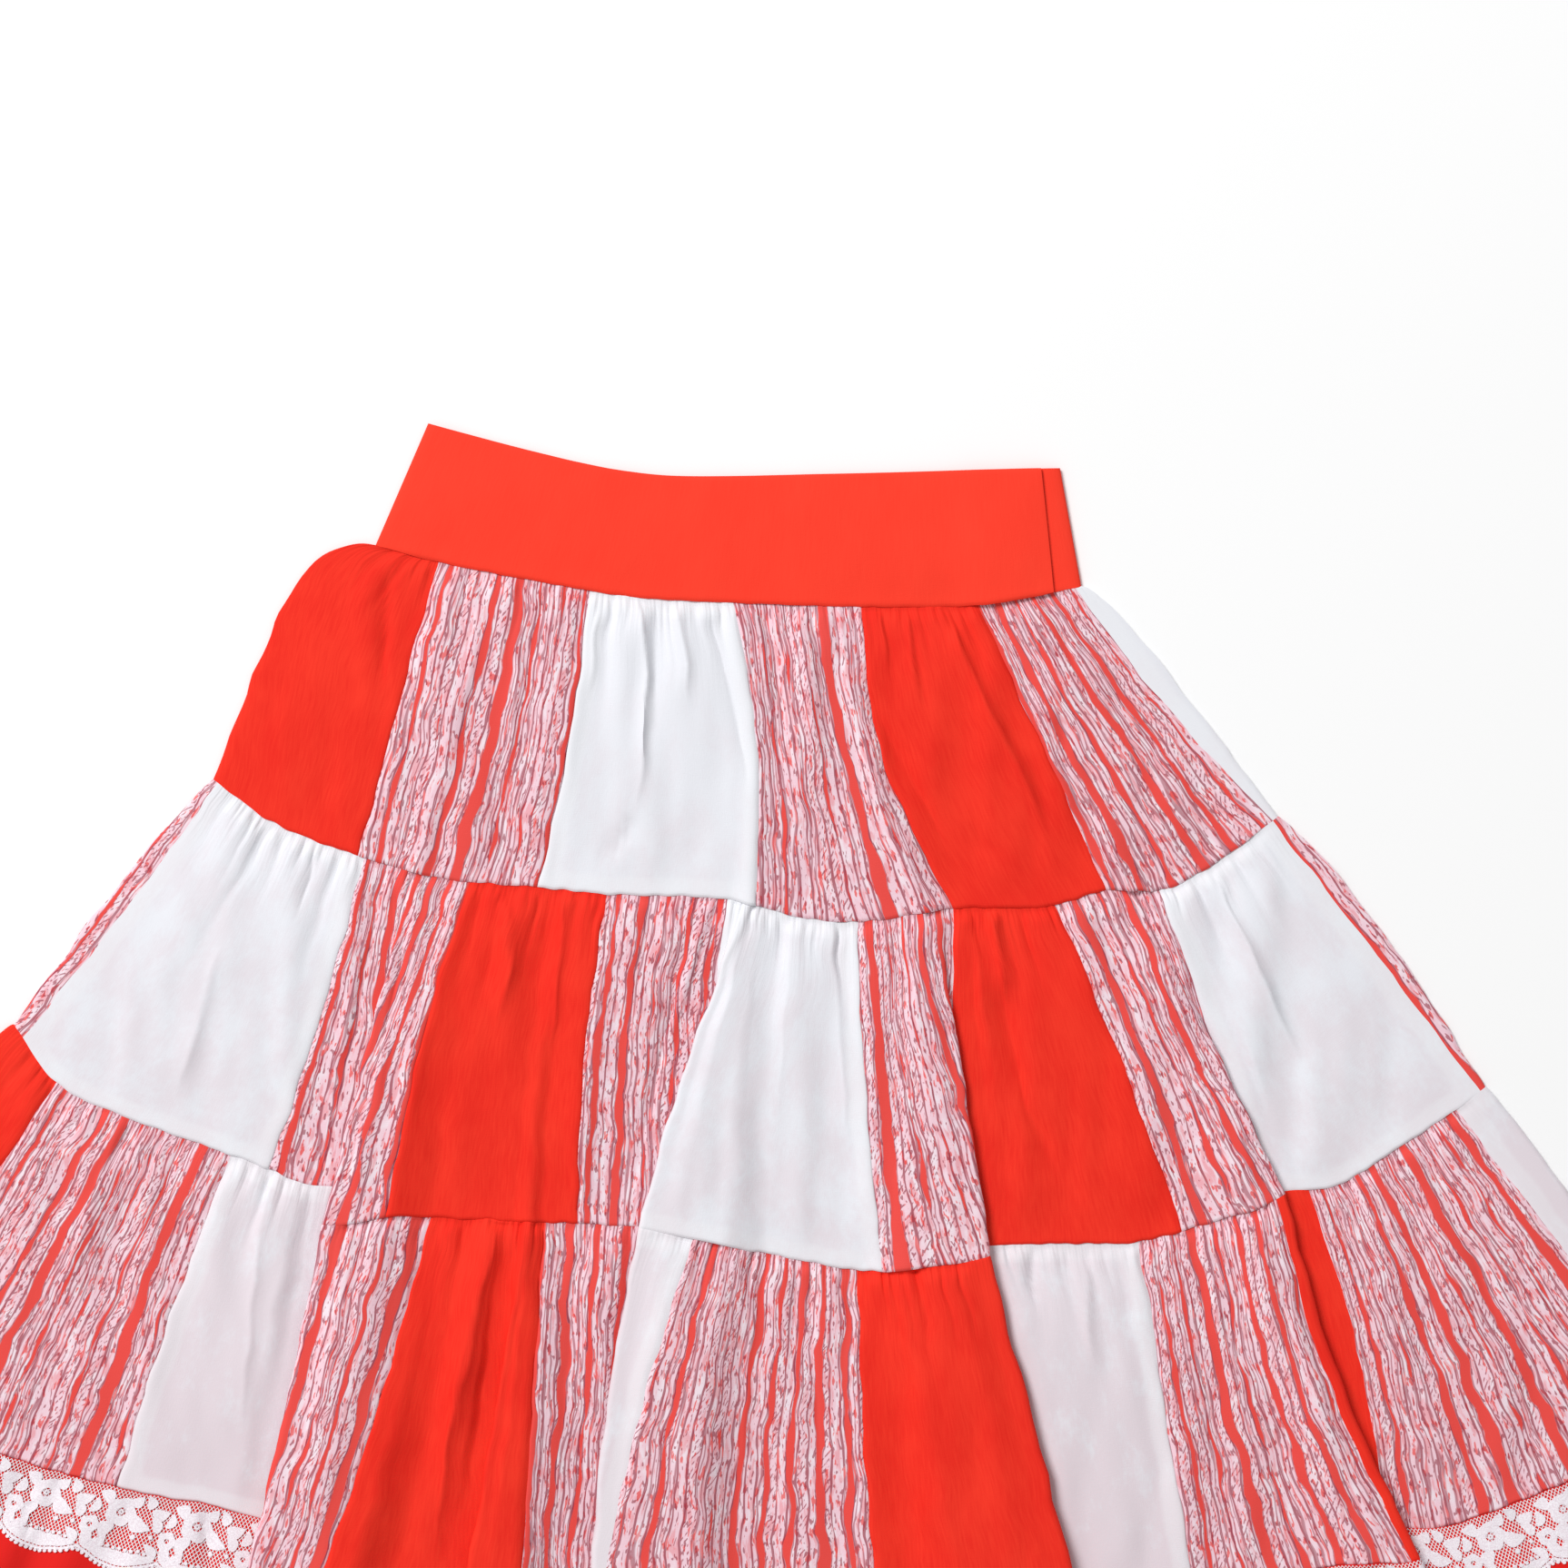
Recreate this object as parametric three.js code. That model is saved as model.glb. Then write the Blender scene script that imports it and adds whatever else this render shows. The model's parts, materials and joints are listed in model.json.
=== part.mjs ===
// A square dance skirt laid flat, its front on its back and its waist towards +Y.
// Patchwork tiers hang in gathers from a contoured waistband, and a ruffle with a lace ends the hem.
// Millimetres, +Z up. The skirt rests on z = 0, and the origin lies under the middle of its outline.
import * as THREE from 'three';

// Walls of cloth, and the heights at which the middle of each wall lies on the table
const CLOTH_WALL = 1.2;
const BAND_WALL = 1.6;
const LACE_WALL = 1.0;
const SEAM_GAP = 0.3;
const FRONT_Z = 3.4;
const BACK_Z = CLOTH_WALL / 2;
const SIDE_BEND = 6;

// Puff of the front between two seams, and how far from a side fold puff and gathers are full
const PUFF = 2;
const SIDE_EASE = 24;

// The hem: how long the ruffle hangs, and how far the lace reaches down over it
const RUFFLE_LENGTH = 80;
const LACE_START = 1;
const LACE_NARROW = 37;
const LACE_SCALLOP = 5;
const SCALLOP_PITCH = 40;

// The lap of the waistband at the wearer's left side: the x of its edge at the top and at the waist seam
const LAP = { above: 165.6, below: 172.3 };
const LAP_UNDER = 30;
const LAP_RAMP = 26;
const LAP_LIFT = BAND_WALL + 0.4;

const FINISHES = {
  red: { color: 0xe8281c, roughness: 0.82, metalness: 0 },
  white: { color: 0xeceef2, roughness: 0.85, metalness: 0 },
  print: { color: 0xee9a9c, roughness: 0.82, metalness: 0 },
  lace: { color: 0xf6eef2, roughness: 0.75, metalness: 0 },
};

const BACK_SHARES = [0, 0.03, 0.15, 0.35, 0.5, 0.65, 0.85, 0.97, 1];

// Where each ring of the skirt runs across the table, from its left side fold to its right one
const RINGS = {
  bandTop: ringLines([
    { x: -157.0, y: 92.6 }, { x: -134.9, y: 86.4 }, { x: -96.0, y: 76.3 }, { x: -61.0, y: 68.6 },
    { x: -25.4, y: 64.8 }, { x: 50.0, y: 65.8 }, { x: 123.8, y: 67.7 }, { x: 175.4, y: 69.1 },
  ]),
  waist: ringLines([
    { x: -184.8, y: 28.3 }, { x: -148.8, y: 19.2 }, { x: -96.0, y: 9.1 }, { x: -49.4, y: 1.5 },
    { x: 2.4, y: -1.5 }, { x: 70.1, y: -3.6 }, { x: 133.4, y: -2.9 }, { x: 163.7, y: 1.9 },
    { x: 186.6, y: 6.7 },
  ]),
  firstSeam: ringLines([
    { x: -270.7, y: -95.0 }, { x: -240.0, y: -117.1 }, { x: -196.3, y: -134.4 },
    { x: -150.0, y: -147.0 }, { x: -100.8, y: -151.5 }, { x: -63.4, y: -155.3 },
    { x: -1.4, y: -158.0 }, { x: 45.0, y: -168.6 }, { x: 76.0, y: -169.4 }, { x: 119.5, y: -162.9 },
    { x: 169.4, y: -161.8 }, { x: 199.2, y: -153.6 }, { x: 231.4, y: -152.6 },
    { x: 263.0, y: -135.4 }, { x: 290.4, y: -114.7 },
  ]),
  secondSeam: ringLines([
    { x: -375.8, y: -224.6 }, { x: -353.3, y: -254.9 }, { x: -316.3, y: -273.1 },
    { x: -280.3, y: -286.1 }, { x: -241.0, y: -300.5 }, { x: -205.0, y: -316.0 },
    { x: -172.0, y: -324.0 }, { x: -121.4, y: -327.4 }, { x: -46.6, y: -331.2 },
    { x: 27.8, y: -346.1 }, { x: 72.0, y: -353.8 }, { x: 98.0, y: -351.5 }, { x: 143.0, y: -341.0 },
    { x: 183.4, y: -339.5 }, { x: 217.9, y: -338.5 }, { x: 271.7, y: -323.0 },
    { x: 296.0, y: -312.5 }, { x: 321.6, y: -309.0 }, { x: 351.4, y: -290.9 },
    { x: 384.0, y: -269.3 }, { x: 400.3, y: -257.3 },
  ]),
  hemSeam: ringLines([
    { x: -499.2, y: -368.6 }, { x: -441.6, y: -420.0 }, { x: -384.0, y: -449.8 },
    { x: -306.7, y: -471.4 }, { x: -262.0, y: -480.5 }, { x: -225.6, y: -503.0 },
    { x: -168.0, y: -516.0 }, { x: -108.0, y: -522.2 }, { x: -19.2, y: -530.4 },
    { x: 78.2, y: -540.0 }, { x: 182.4, y: -532.0 }, { x: 244.3, y: -522.0 },
    { x: 312.0, y: -511.0 }, { x: 357.6, y: -496.0 }, { x: 418.6, y: -475.2 },
    { x: 480.0, y: -446.4 }, { x: 513.1, y: -413.8 },
  ]),
  hem: ringLines([
    { x: -551.0, y: -429.5 }, { x: -488.0, y: -486.0 }, { x: -414.0, y: -524.0 },
    { x: -326.0, y: -549.0 }, { x: -240.0, y: -577.0 }, { x: -174.0, y: -595.0 },
    { x: -20.0, y: -611.0 }, { x: 80.0, y: -620.0 }, { x: 190.0, y: -612.0 },
    { x: 322.0, y: -590.0 }, { x: 380.0, y: -573.0 }, { x: 448.0, y: -549.0 },
    { x: 522.0, y: -514.0 }, { x: 559.5, y: -479.0 },
  ]),
};

// Long folds that run down over the tiers. A lean of 1 lays the left cloth over the right one.
// On each ring: its middle, half the width it draws on, its lap, its rise and its step along Y.
const FOLDS = [
  { fold: 'left print', lean: -1, ring: 'firstSeam', x: -169.0, reach: 14, lap: 0, rise: 2, step: 0 },
  { fold: 'left print', lean: -1, ring: 'secondSeam', x: -198.0, reach: 30, lap: 30, rise: 8, step: 14 },
  { fold: 'left print', lean: -1, ring: 'hemSeam', x: -227.5, reach: 40, lap: 50, rise: 12, step: 15 },
  { fold: 'left print', lean: -1, ring: 'hem', x: -246.0, reach: 42, lap: 54, rise: 12, step: 12 },
  { fold: 'left red', lean: -1, ring: 'secondSeam', x: -108.5, reach: 12, lap: 0, rise: 3, step: 0 },
  { fold: 'left red', lean: -1, ring: 'hemSeam', x: -128.0, reach: 26, lap: 20, rise: 11, step: 0 },
  { fold: 'left red', lean: -1, ring: 'hem', x: -138.0, reach: 27, lap: 22, rise: 11, step: 0 },
  { fold: 'middle white', lean: -1, ring: 'firstSeam', x: 6.8, reach: 14, lap: 0, rise: 2, step: 0 },
  { fold: 'middle white', lean: -1, ring: 'secondSeam', x: -26.6, reach: 34, lap: 40, rise: 8, step: 0 },
  { fold: 'middle white', lean: -1, ring: 'hemSeam', x: -47.5, reach: 40, lap: 50, rise: 12, step: 0 },
  { fold: 'middle white', lean: -1, ring: 'hem', x: -52.0, reach: 41, lap: 52, rise: 12, step: 0 },
  { fold: 'middle red', lean: 1, ring: 'waist', x: 66.0, reach: 12, lap: 0, rise: 0, step: 0 },
  { fold: 'middle red', lean: 1, ring: 'firstSeam', x: 112.8, reach: 16, lap: 0, rise: 4, step: 0 },
  { fold: 'middle red', lean: 1, ring: 'secondSeam', x: 119.2, reach: 34, lap: 40, rise: 8, step: -3 },
  { fold: 'middle red', lean: 1, ring: 'hemSeam', x: 162.0, reach: 42, lap: 56, rise: 12, step: -10 },
  { fold: 'middle red', lean: 1, ring: 'hem', x: 183.0, reach: 43, lap: 58, rise: 12, step: -8 },
  { fold: 'right red', lean: 1, ring: 'firstSeam', x: 221.3, reach: 16, lap: 0, rise: 3, step: 0 },
  { fold: 'right red', lean: 1, ring: 'secondSeam', x: 288.7, reach: 22, lap: 12, rise: 7, step: 0 },
  { fold: 'right red', lean: 1, ring: 'hemSeam', x: 352.8, reach: 30, lap: 24, rise: 11, step: -10 },
  { fold: 'right red', lean: 1, ring: 'hem', x: 380.0, reach: 31, lap: 26, rise: 11, step: -8 },
];

// How a fold's width is shared out: up to its edge, round it, under it, round the hidden bend, and on
const EDGE_FROM = 0.4;
const EDGE_TO = 0.25;
const FOLD_COLUMNS = [
  -1, -0.955, -0.91, -0.86, -0.63, -0.4, -0.35, -0.3, -0.25, 0, 0.25, 0.3, 0.35, 0.4, 0.6, 0.8, 0.9, 1,
];
const FOLD_CORE = 0.8;
const FIRST_LAP = 12;
const RISE_CLEAR = 3;

// Tiers of patches. The seams cross the front from left to right, the two side folds among them.
// Each gives its x on the ring above and below and how far it bows on the way, at which height.
const TIERS = [
  {
    name: 'tier1', above: 'waist', below: 'firstSeam', patches: 12,
    gather: 14.5, pucker: 2.4, backPucker: 0.8,
    order: ['red', 'print', 'white', 'print'], backTogether: 1,
    wraps: { left: [29, 22], right: [60, 90] },
    seams: [
      { side: 'left', above: -184.8, below: -270.7, bow: -25, high: 0.2 },
      { above: -151.7, below: -194.4, bow: 0 },
      { above: -72.0, below: -99.8, bow: 3 },
      { above: 3.4, below: 15.4, bow: 7 },
      { above: 71.0, below: 119.5, bow: -13 },
      { above: 132.5, below: 200.2, bow: 0 },
      { above: 184.0, below: 288.0, bow: -4 },
      { side: 'right', above: 186.6, below: 290.4, bow: 7, high: 0.2 },
    ],
  },
  {
    name: 'tier2', above: 'firstSeam', below: 'secondSeam', patches: 20,
    gather: 18, pucker: 2.6, backPucker: 0.8,
    order: ['print', 'white', 'print', 'red'], backTogether: 1,
    wraps: { left: [54, 72], right: [54, 74] },
    seams: [
      { side: 'left', above: -270.7, below: -375.8, bow: -4, high: 0.4 },
      { above: -268.3, below: -371.0, bow: 2 },
      { above: -191.0, below: -241.4, bow: 3 },
      { above: -135.4, below: -172.6, bow: -4 },
      { above: -63.4, below: -78.7, bow: -4 },
      { above: 0.5, below: -41.9, bow: -4 },
      { above: 69.1, below: 82.0, bow: -2 },
      { above: 119.5, below: 136.2, bow: 3 },
      { above: 172.8, below: 240.0, bow: 3 },
      { above: 228.0, below: 298.0, bow: 0 },
      { above: 288.0, below: 397.4, bow: 0 },
      { side: 'right', above: 290.4, below: 400.3, bow: 7, high: 0.35 },
    ],
  },
  {
    name: 'tier3', above: 'secondSeam', below: 'hemSeam', patches: 28,
    gather: 21, pucker: 2.8, backPucker: 0.8,
    order: ['red', 'print', 'white', 'print'], backTogether: 2,
    wraps: { left: [33, 27], right: [40, 62] },
    seams: [
      { side: 'left', above: -375.8, below: -499.2, bow: -4, high: 0.2 },
      { above: -353.3, below: -453.6, bow: 0 },
      { above: -261.6, below: -321.6, bow: -2 },
      { above: -210.6, below: -244.3, bow: 0 },
      { above: -156.0, below: -197.2, bow: 3 },
      { above: -96.0, below: -105.0, bow: 0 },
      { above: -41.9, below: -65.5, bow: -4 },
      { above: -2.5, below: -30.3, bow: -4 },
      { above: 68.6, below: 80.6, bow: -2 },
      { above: 119.2, below: 162.0, bow: 0 },
      { above: 136.2, below: 183.0, bow: 0 },
      { above: 217.0, below: 246.2, bow: 0 },
      { above: 278.3, below: 340.0, bow: -8 },
      { above: 308.7, below: 366.5, bow: 6 },
      { above: 385.0, below: 503.0, bow: 0 },
      { side: 'right', above: 400.3, below: 513.1, bow: 2, high: 0.3 },
    ],
  },
];
const TIER_ROWS = [0, 0.1, 0.38, 1];
const BACK_ROWS = [0, 0.25, 1];
const RUFFLE_ROWS = [0, 0.55, 1];
const RUFFLE = { above: 'hemSeam', below: 'hem', gather: 25, pucker: 3.6, backPucker: 0 };
const BACK_GATHER = 70;
const SIDE_COLUMNS = [0.8, 3, 6.5];
const COLUMN_ROOM = 1.2;

function clamp(value, low, high) {
  return Math.min(Math.max(value, low), high);
}

function mix(from, to, share) {
  return from + (to - from) * share;
}

function ease(share) {
  const s = clamp(share, 0, 1);
  return s * s * (3 - 2 * s);
}

// A steady, uneven share between 0 and 1 for the nth gather
function uneven(n) {
  const wave = Math.sin(n * 12.9898 + 4.1414) * 43.7585;
  return wave - Math.floor(wave);
}

// A smooth line through the rows, with its two ends and its y at any x
function smoothLine(rows) {
  const slopes = rows.map((row, i) => {
    const before = rows[Math.max(i - 1, 0)];
    const after = rows[Math.min(i + 1, rows.length - 1)];
    return (after.y - before.y) / (after.x - before.x);
  });
  const y = (x) => {
    let i = 0;
    while (i < rows.length - 2 && x > rows[i + 1].x) {
      i += 1;
    }
    const width = rows[i + 1].x - rows[i].x;
    const t = clamp((x - rows[i].x) / width, 0, 1);
    const rise = rows[i + 1].y - rows[i].y;
    const bend = (1 - t) * (slopes[i] * width - rise) - t * (slopes[i + 1] * width - rise);
    return rows[i].y + t * rise + t * (1 - t) * bend;
  };
  return { left: rows[0].x, right: rows[rows.length - 1].x, y };
}

// A ring has its seam's line on the front and, on the back, a plainer one between the same ends
function ringLines(rows) {
  const front = smoothLine(rows);
  const plain = BACK_SHARES.map((share) => {
    const x = mix(front.left, front.right, share);
    return { x, y: front.y(x) };
  });
  return { ...front, backY: smoothLine(plain).y };
}

// The cross-section of a pleat whose left side lies on top: its place along the seam and its height
function pleat(q, reach, lap, rise) {
  const bend = rise / 4;
  const hook = lap / 2 - bend;
  if (q < -EDGE_FROM) {
    const along = mix(-reach, hook, (q + 1) / (1 - EDGE_FROM));
    return { along, height: rise * ease((along + reach) / (reach - lap / 2 - RISE_CLEAR)) };
  }
  if (q < -EDGE_TO) {
    const turn = (Math.PI * (q + EDGE_FROM)) / (EDGE_FROM - EDGE_TO);
    return { along: hook + bend * Math.sin(turn), height: rise - bend + bend * Math.cos(turn) };
  }
  if (q <= EDGE_TO) {
    return { along: mix(hook, -hook, (q + EDGE_TO) / (2 * EDGE_TO)), height: rise / 2 };
  }
  if (q <= EDGE_FROM) {
    const turn = (Math.PI * (q - EDGE_TO)) / (EDGE_FROM - EDGE_TO);
    return { along: -hook - bend * Math.sin(turn), height: bend + bend * Math.cos(turn) };
  }
  return { along: mix(-hook, reach, (q - EDGE_FROM) / (1 - EDGE_FROM)), height: 0 };
}

// A fold with no lap yet is a ridge that is steeper on the side where the pleat will open
function ridge(q, reach, rise) {
  const rising = (q + 1) / (1 - EDGE_FROM);
  const falling = (q + EDGE_FROM) / (2 * EDGE_FROM);
  return { along: reach * q, height: rise * (q < -EDGE_FROM ? ease(rising) : 1 - ease(falling)) };
}

// What a fold adds to a point of its ring: a shift along the seam, a step along Y and a rise
function foldAt(row, x) {
  const q = (x - row.x) / row.reach;
  if (Math.abs(q) >= 1) {
    return { shift: 0, step: 0, rise: 0 };
  }
  const soft = ridge(q * row.lean, row.reach, row.rise);
  const firm = pleat(q * row.lean, row.reach, Math.max(row.lap, FIRST_LAP), row.rise);
  const share = Math.min(row.lap / FIRST_LAP, 1);
  const along = mix(soft.along, firm.along, share) * row.lean;
  const outside = Math.max(Math.abs(q) - EDGE_TO, 0) / (1 - EDGE_TO);
  const side = -clamp(q / EDGE_TO, -1, 1) * (1 - outside ** 2) ** 2;
  return { shift: along - q * row.reach, step: row.step * side, rise: mix(soft.height, firm.height, share) };
}

// A place round a ring is its x on the front. Past a side fold the same length is counted on the back.
function unroll(ring, place) {
  const width = ring.right - ring.left;
  const round = (((place - ring.left) % (2 * width)) + 2 * width) % (2 * width);
  const front = round <= width;
  return { x: front ? ring.left + round : ring.right - (round - width), front };
}

// The middle of the cloth at a place of a ring, with the direction of the seam
function ringPoint(name, place, backZ = BACK_Z) {
  const ring = RINGS[name];
  const { x, front } = unroll(ring, place);
  const y = front ? ring.y : ring.backY;
  const inward = clamp(Math.min(x - ring.left, ring.right - x), 0, SIDE_BEND) / SIDE_BEND;
  const bend = Math.sqrt(1 - (1 - inward) ** 2) * (front ? 1 : -1);
  const along = new THREE.Vector2(2, y(x + 1) - y(x - 1)).normalize();
  const point = new THREE.Vector3(x, y(x), mix(backZ, FRONT_Z, (1 + bend) / 2));
  const folds = front ? FOLDS.filter((row) => row.ring === name) : [];
  for (const row of folds) {
    const added = foldAt(row, x);
    point.x += along.x * added.shift;
    point.y += along.y * added.shift + added.step;
    point.z += added.rise;
  }
  return { point, along };
}

// How far a place lies from the nearer side fold, as a share of the stretch where puff grows
function sideShare(name, place) {
  const ring = RINGS[name];
  const { x } = unroll(ring, place);
  return ease(Math.min(x - ring.left, ring.right - x) / SIDE_EASE);
}

// Whether a place lies within a share of the reach of a fold that laps, where gathers stay out
function inFold(name, place, share) {
  const lapping = FOLDS.filter((row) => row.ring === name && row.lap > 0);
  return lapping.some((row) => Math.abs(place - row.x) < share * row.reach);
}

// How a seam's bow grows on the way down, fullest at the height it gives
function bowShare(t, high) {
  return Math.sin(Math.PI * t ** (Math.log(0.5) / Math.log(high)));
}

// One point of the cloth between two rings, for a column of the panel at height share t
function clothPoint(panel, column, t) {
  const upper = ringPoint(panel.above, column.above);
  const lower = ringPoint(panel.below, column.below);
  const point = upper.point.lerp(lower.point, t);
  const along = upper.along.lerp(lower.along, t).normalize();
  const bow = column.bow * bowShare(t, column.high);
  const front = column.side === 'front';
  const share = Math.min(sideShare(panel.above, column.above), sideShare(panel.below, column.below));
  point.x += along.x * bow;
  point.y += along.y * bow;
  point.z += front ? PUFF * share * Math.sin(Math.PI * t) : 0;
  point.z += column.pucker * share * panel.gatherFade(t, column.side);
  point.z += panel.lift ? panel.lift(t) : 0;
  return point;
}

// The seams on one half of a tier's back, from the wrapping patch towards the back's middle
function seamsOnBack(tier, side, count, shared) {
  const [left, right] = tier.seams.filter((row) => row.side);
  const end = side === 'left' ? left : right;
  const sign = side === 'left' ? -1 : 1;
  const place = (level, n) => (i) => {
    const open = right[level] - left[level] - tier.wraps.left[n] - tier.wraps.right[n];
    return end[level] + sign * (tier.wraps[side][n] + (open * i) / shared);
  };
  const above = place('above', 0);
  const below = place('below', 1);
  return Array.from({ length: count + 1 }, (_, i) => ({ above: above(i), below: below(i), bow: 0 }));
}

// All seams of a tier round the loop, from the back's middle over the front to the back's middle
function seamsRound(tier) {
  const shared = tier.patches - (tier.seams.length - 1);
  const leftCount = Math.floor(shared / 2);
  const before = seamsOnBack(tier, 'left', leftCount, shared).reverse();
  const after = seamsOnBack(tier, 'right', shared - leftCount, shared);
  const seams = [...before, ...tier.seams, ...after].map((row) => ({ high: 0.5, ...row }));
  return { seams, leftCount };
}

// The side of the loop on which a stretch between two places lies
function sideOf(panel, from, to) {
  const ring = RINGS[panel.above];
  const middle = (from.above + to.above) / 2;
  return middle > ring.left && middle < ring.right ? 'front' : 'back';
}

// Columns between two neighbouring seams: gathers, the bends of long folds, and the side folds
function columnsBetween(panel, from, to, index) {
  const side = sideOf(panel, from, to);
  const width = Math.abs(to.above - from.above);
  const gathers = Math.max(Math.round(width / (side === 'front' ? panel.gather : BACK_GATHER)), 1);
  const height = side === 'front' ? panel.pucker : panel.backPucker;
  const inside = (above, below) => {
    const room = COLUMN_ROOM * 0.5;
    return above > from.above + room && above < to.above - room
      && below > from.below + room && below < to.below - room;
  };
  const anchors = [from, to];
  const add = (above, below) => {
    if (inside(above, below)) {
      anchors.push({ above, below, fixed: true });
    }
  };
  for (const row of side === 'front' ? FOLDS.filter((fold) => fold.ring === panel.above) : []) {
    const next = FOLDS.find((fold) => fold.fold === row.fold && fold.ring === panel.below);
    FOLD_COLUMNS.forEach((q) => add(row.x + q * row.lean * row.reach, next.x + q * row.lean * next.reach));
  }
  for (const end of [from, to].filter((seam) => seam.side)) {
    const sign = end === from ? 1 : -1;
    SIDE_COLUMNS.forEach((near) => add(end.above + sign * near, end.below + sign * near));
  }
  anchors.sort((a, b) => a.above - b.above);
  const columns = [];
  const belowAt = (above) => {
    const i = anchors.findIndex((anchor) => anchor.above > above);
    const share = (above - anchors[i - 1].above) / (anchors[i].above - anchors[i - 1].above);
    return mix(anchors[i - 1].below, anchors[i].below, share);
  };
  for (let i = 1; i < gathers * 4; i += 1) {
    const above = mix(from.above, to.above, i / (gathers * 4));
    const clear = anchors.every((anchor) => Math.abs(anchor.above - above) > COLUMN_ROOM);
    if (clear && !inFold(panel.above, above, FOLD_CORE) && !inFold(panel.below, belowAt(above), FOLD_CORE)) {
      columns.push({ above, below: belowAt(above) });
    }
  }
  const all = [...anchors, ...columns].sort((a, b) => a.above - b.above);
  return all.map((column) => {
    const f = (column.above - from.above) / (to.above - from.above);
    const swell = height * (0.6 + 0.4 * uneven(index * 7 + Math.floor(f * gathers)));
    const still = inFold(panel.above, column.above, 1) || inFold(panel.below, column.below, 1);
    return {
      above: column.above,
      below: column.below,
      side,
      bow: mix(from.bow, to.bow, f),
      high: mix(from.high, to.high, f),
      pucker: still ? 0 : (swell * (1 - Math.cos(2 * Math.PI * gathers * f))) / 2,
    };
  });
}

// The way down across a seam, square to it and level, at a place of a ring
function acrossSeam(name, place) {
  const { along } = ringPoint(name, place);
  return new THREE.Vector3(along.y, -along.x, 0);
}

// Outward normals of a grid. At both seams they stand square to the way across, so that walls meet flush.
function outward(points, ways) {
  return points.map((line, i) => line.map((point, j) => {
    const left = points[Math.max(i - 1, 0)][j];
    const right = points[Math.min(i + 1, points.length - 1)][j];
    const end = line.length - 1;
    const down = line[Math.min(j + 1, end)].clone().sub(line[Math.max(j - 1, 0)]);
    const way = { 0: ways[i].above, [end]: ways[i].below }[j] ?? down;
    return way.clone().cross(right.clone().sub(left)).normalize();
  }));
}

// A grid of middle points and outward normals over columns from first to last. The columns beside them
// only turn the normals at both ends, so that two pieces that meet there agree.
function clothGrid(panel, columns, rows, first, last) {
  const from = Math.max(first - 1, 0);
  const used = columns.slice(from, last + 2);
  const points = used.map((column) => rows.map((t) => clothPoint(panel, column, t)));
  const ways = used.map((column) => ({
    above: acrossSeam(panel.above, column.above),
    below: acrossSeam(panel.below, column.below),
  }));
  const kept = (list) => list.slice(first - from, last + 1 - from);
  return { points: kept(points), ways: kept(ways), normals: kept(outward(points, ways)) };
}

// The edge lines of a grid, moved in by half a seam gap
function trimmed(points, ways) {
  const half = SEAM_GAP / 2;
  const last = points.length - 1;
  const beside = (i) => (i === 0 ? 1 : last - 1);
  return points.map((line, i) => line.map((point, j) => {
    const moved = point.clone();
    if (i === 0 || i === last) {
      const way = points[beside(i)][j].clone().sub(point);
      moved.addScaledVector(way, Math.min(half / way.length(), 0.4));
    }
    if (j === 0) {
      moved.addScaledVector(ways[i].above, half);
    }
    return j === line.length - 1 ? moved.addScaledVector(ways[i].below, -half) : moved;
  }));
}

// A closed wall over a grid, half of it on each side of the middle points
function wall(points, normals, thickness) {
  const across = points.length;
  const down = points[0].length;
  const corners = [];
  for (const sign of [1, -1]) {
    points.forEach((line, i) => line.forEach((point, j) => {
      const moved = point.clone().addScaledVector(normals[i][j], (sign * thickness) / 2);
      corners.push(moved.x, moved.y, moved.z);
    }));
  }
  const outer = (i, j) => i * down + j;
  const inner = (i, j) => across * down + i * down + j;
  const faces = [];
  const quad = (a, b, c, d) => faces.push(a, b, c, a, c, d);
  for (let i = 0; i < across - 1; i += 1) {
    for (let j = 0; j < down - 1; j += 1) {
      quad(outer(i, j), outer(i, j + 1), outer(i + 1, j + 1), outer(i + 1, j));
      quad(inner(i, j), inner(i + 1, j), inner(i + 1, j + 1), inner(i, j + 1));
    }
    quad(outer(i, 0), outer(i + 1, 0), inner(i + 1, 0), inner(i, 0));
    quad(outer(i, down - 1), inner(i, down - 1), inner(i + 1, down - 1), outer(i + 1, down - 1));
  }
  for (let j = 0; j < down - 1; j += 1) {
    quad(outer(0, j), inner(0, j), inner(0, j + 1), outer(0, j + 1));
    quad(outer(across - 1, j), outer(across - 1, j + 1), inner(across - 1, j + 1), inner(across - 1, j));
  }
  const geometry = new THREE.BufferGeometry();
  geometry.setAttribute('position', new THREE.Float32BufferAttribute(corners, 3));
  geometry.setIndex(faces);
  geometry.computeVertexNormals();
  return geometry;
}

function piece(name, geometry, finish) {
  const material = new THREE.MeshStandardMaterial({ ...FINISHES[finish], side: THREE.DoubleSide });
  const mesh = new THREE.Mesh(geometry, material);
  mesh.name = name;
  return mesh;
}

function cloth(name, grid, finish) {
  return piece(name, wall(trimmed(grid.points, grid.ways), grid.normals, CLOTH_WALL), finish);
}

// Columns over all stretches of a panel, and the column on which each seam lies
function columnsOver(panel, seams) {
  const columns = [];
  const at = [0];
  for (let i = 1; i < seams.length; i += 1) {
    const run = columnsBetween(panel, seams[i - 1], seams[i], i);
    columns.push(...(i === 1 ? run : run.slice(1)));
    at.push(columns.length - 1);
  }
  return { columns, at };
}

// The gathers of a tier are deepest just under its upper seam and gone at its lower one.
// On the back the table presses them flat a little below the seam.
function tierFade(t, side) {
  return side === 'front' ? mix(0.45, 1, ease(t / 0.1)) * (1 - t) ** 1.6 : 1 - ease(t / BACK_ROWS[1]);
}

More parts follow.
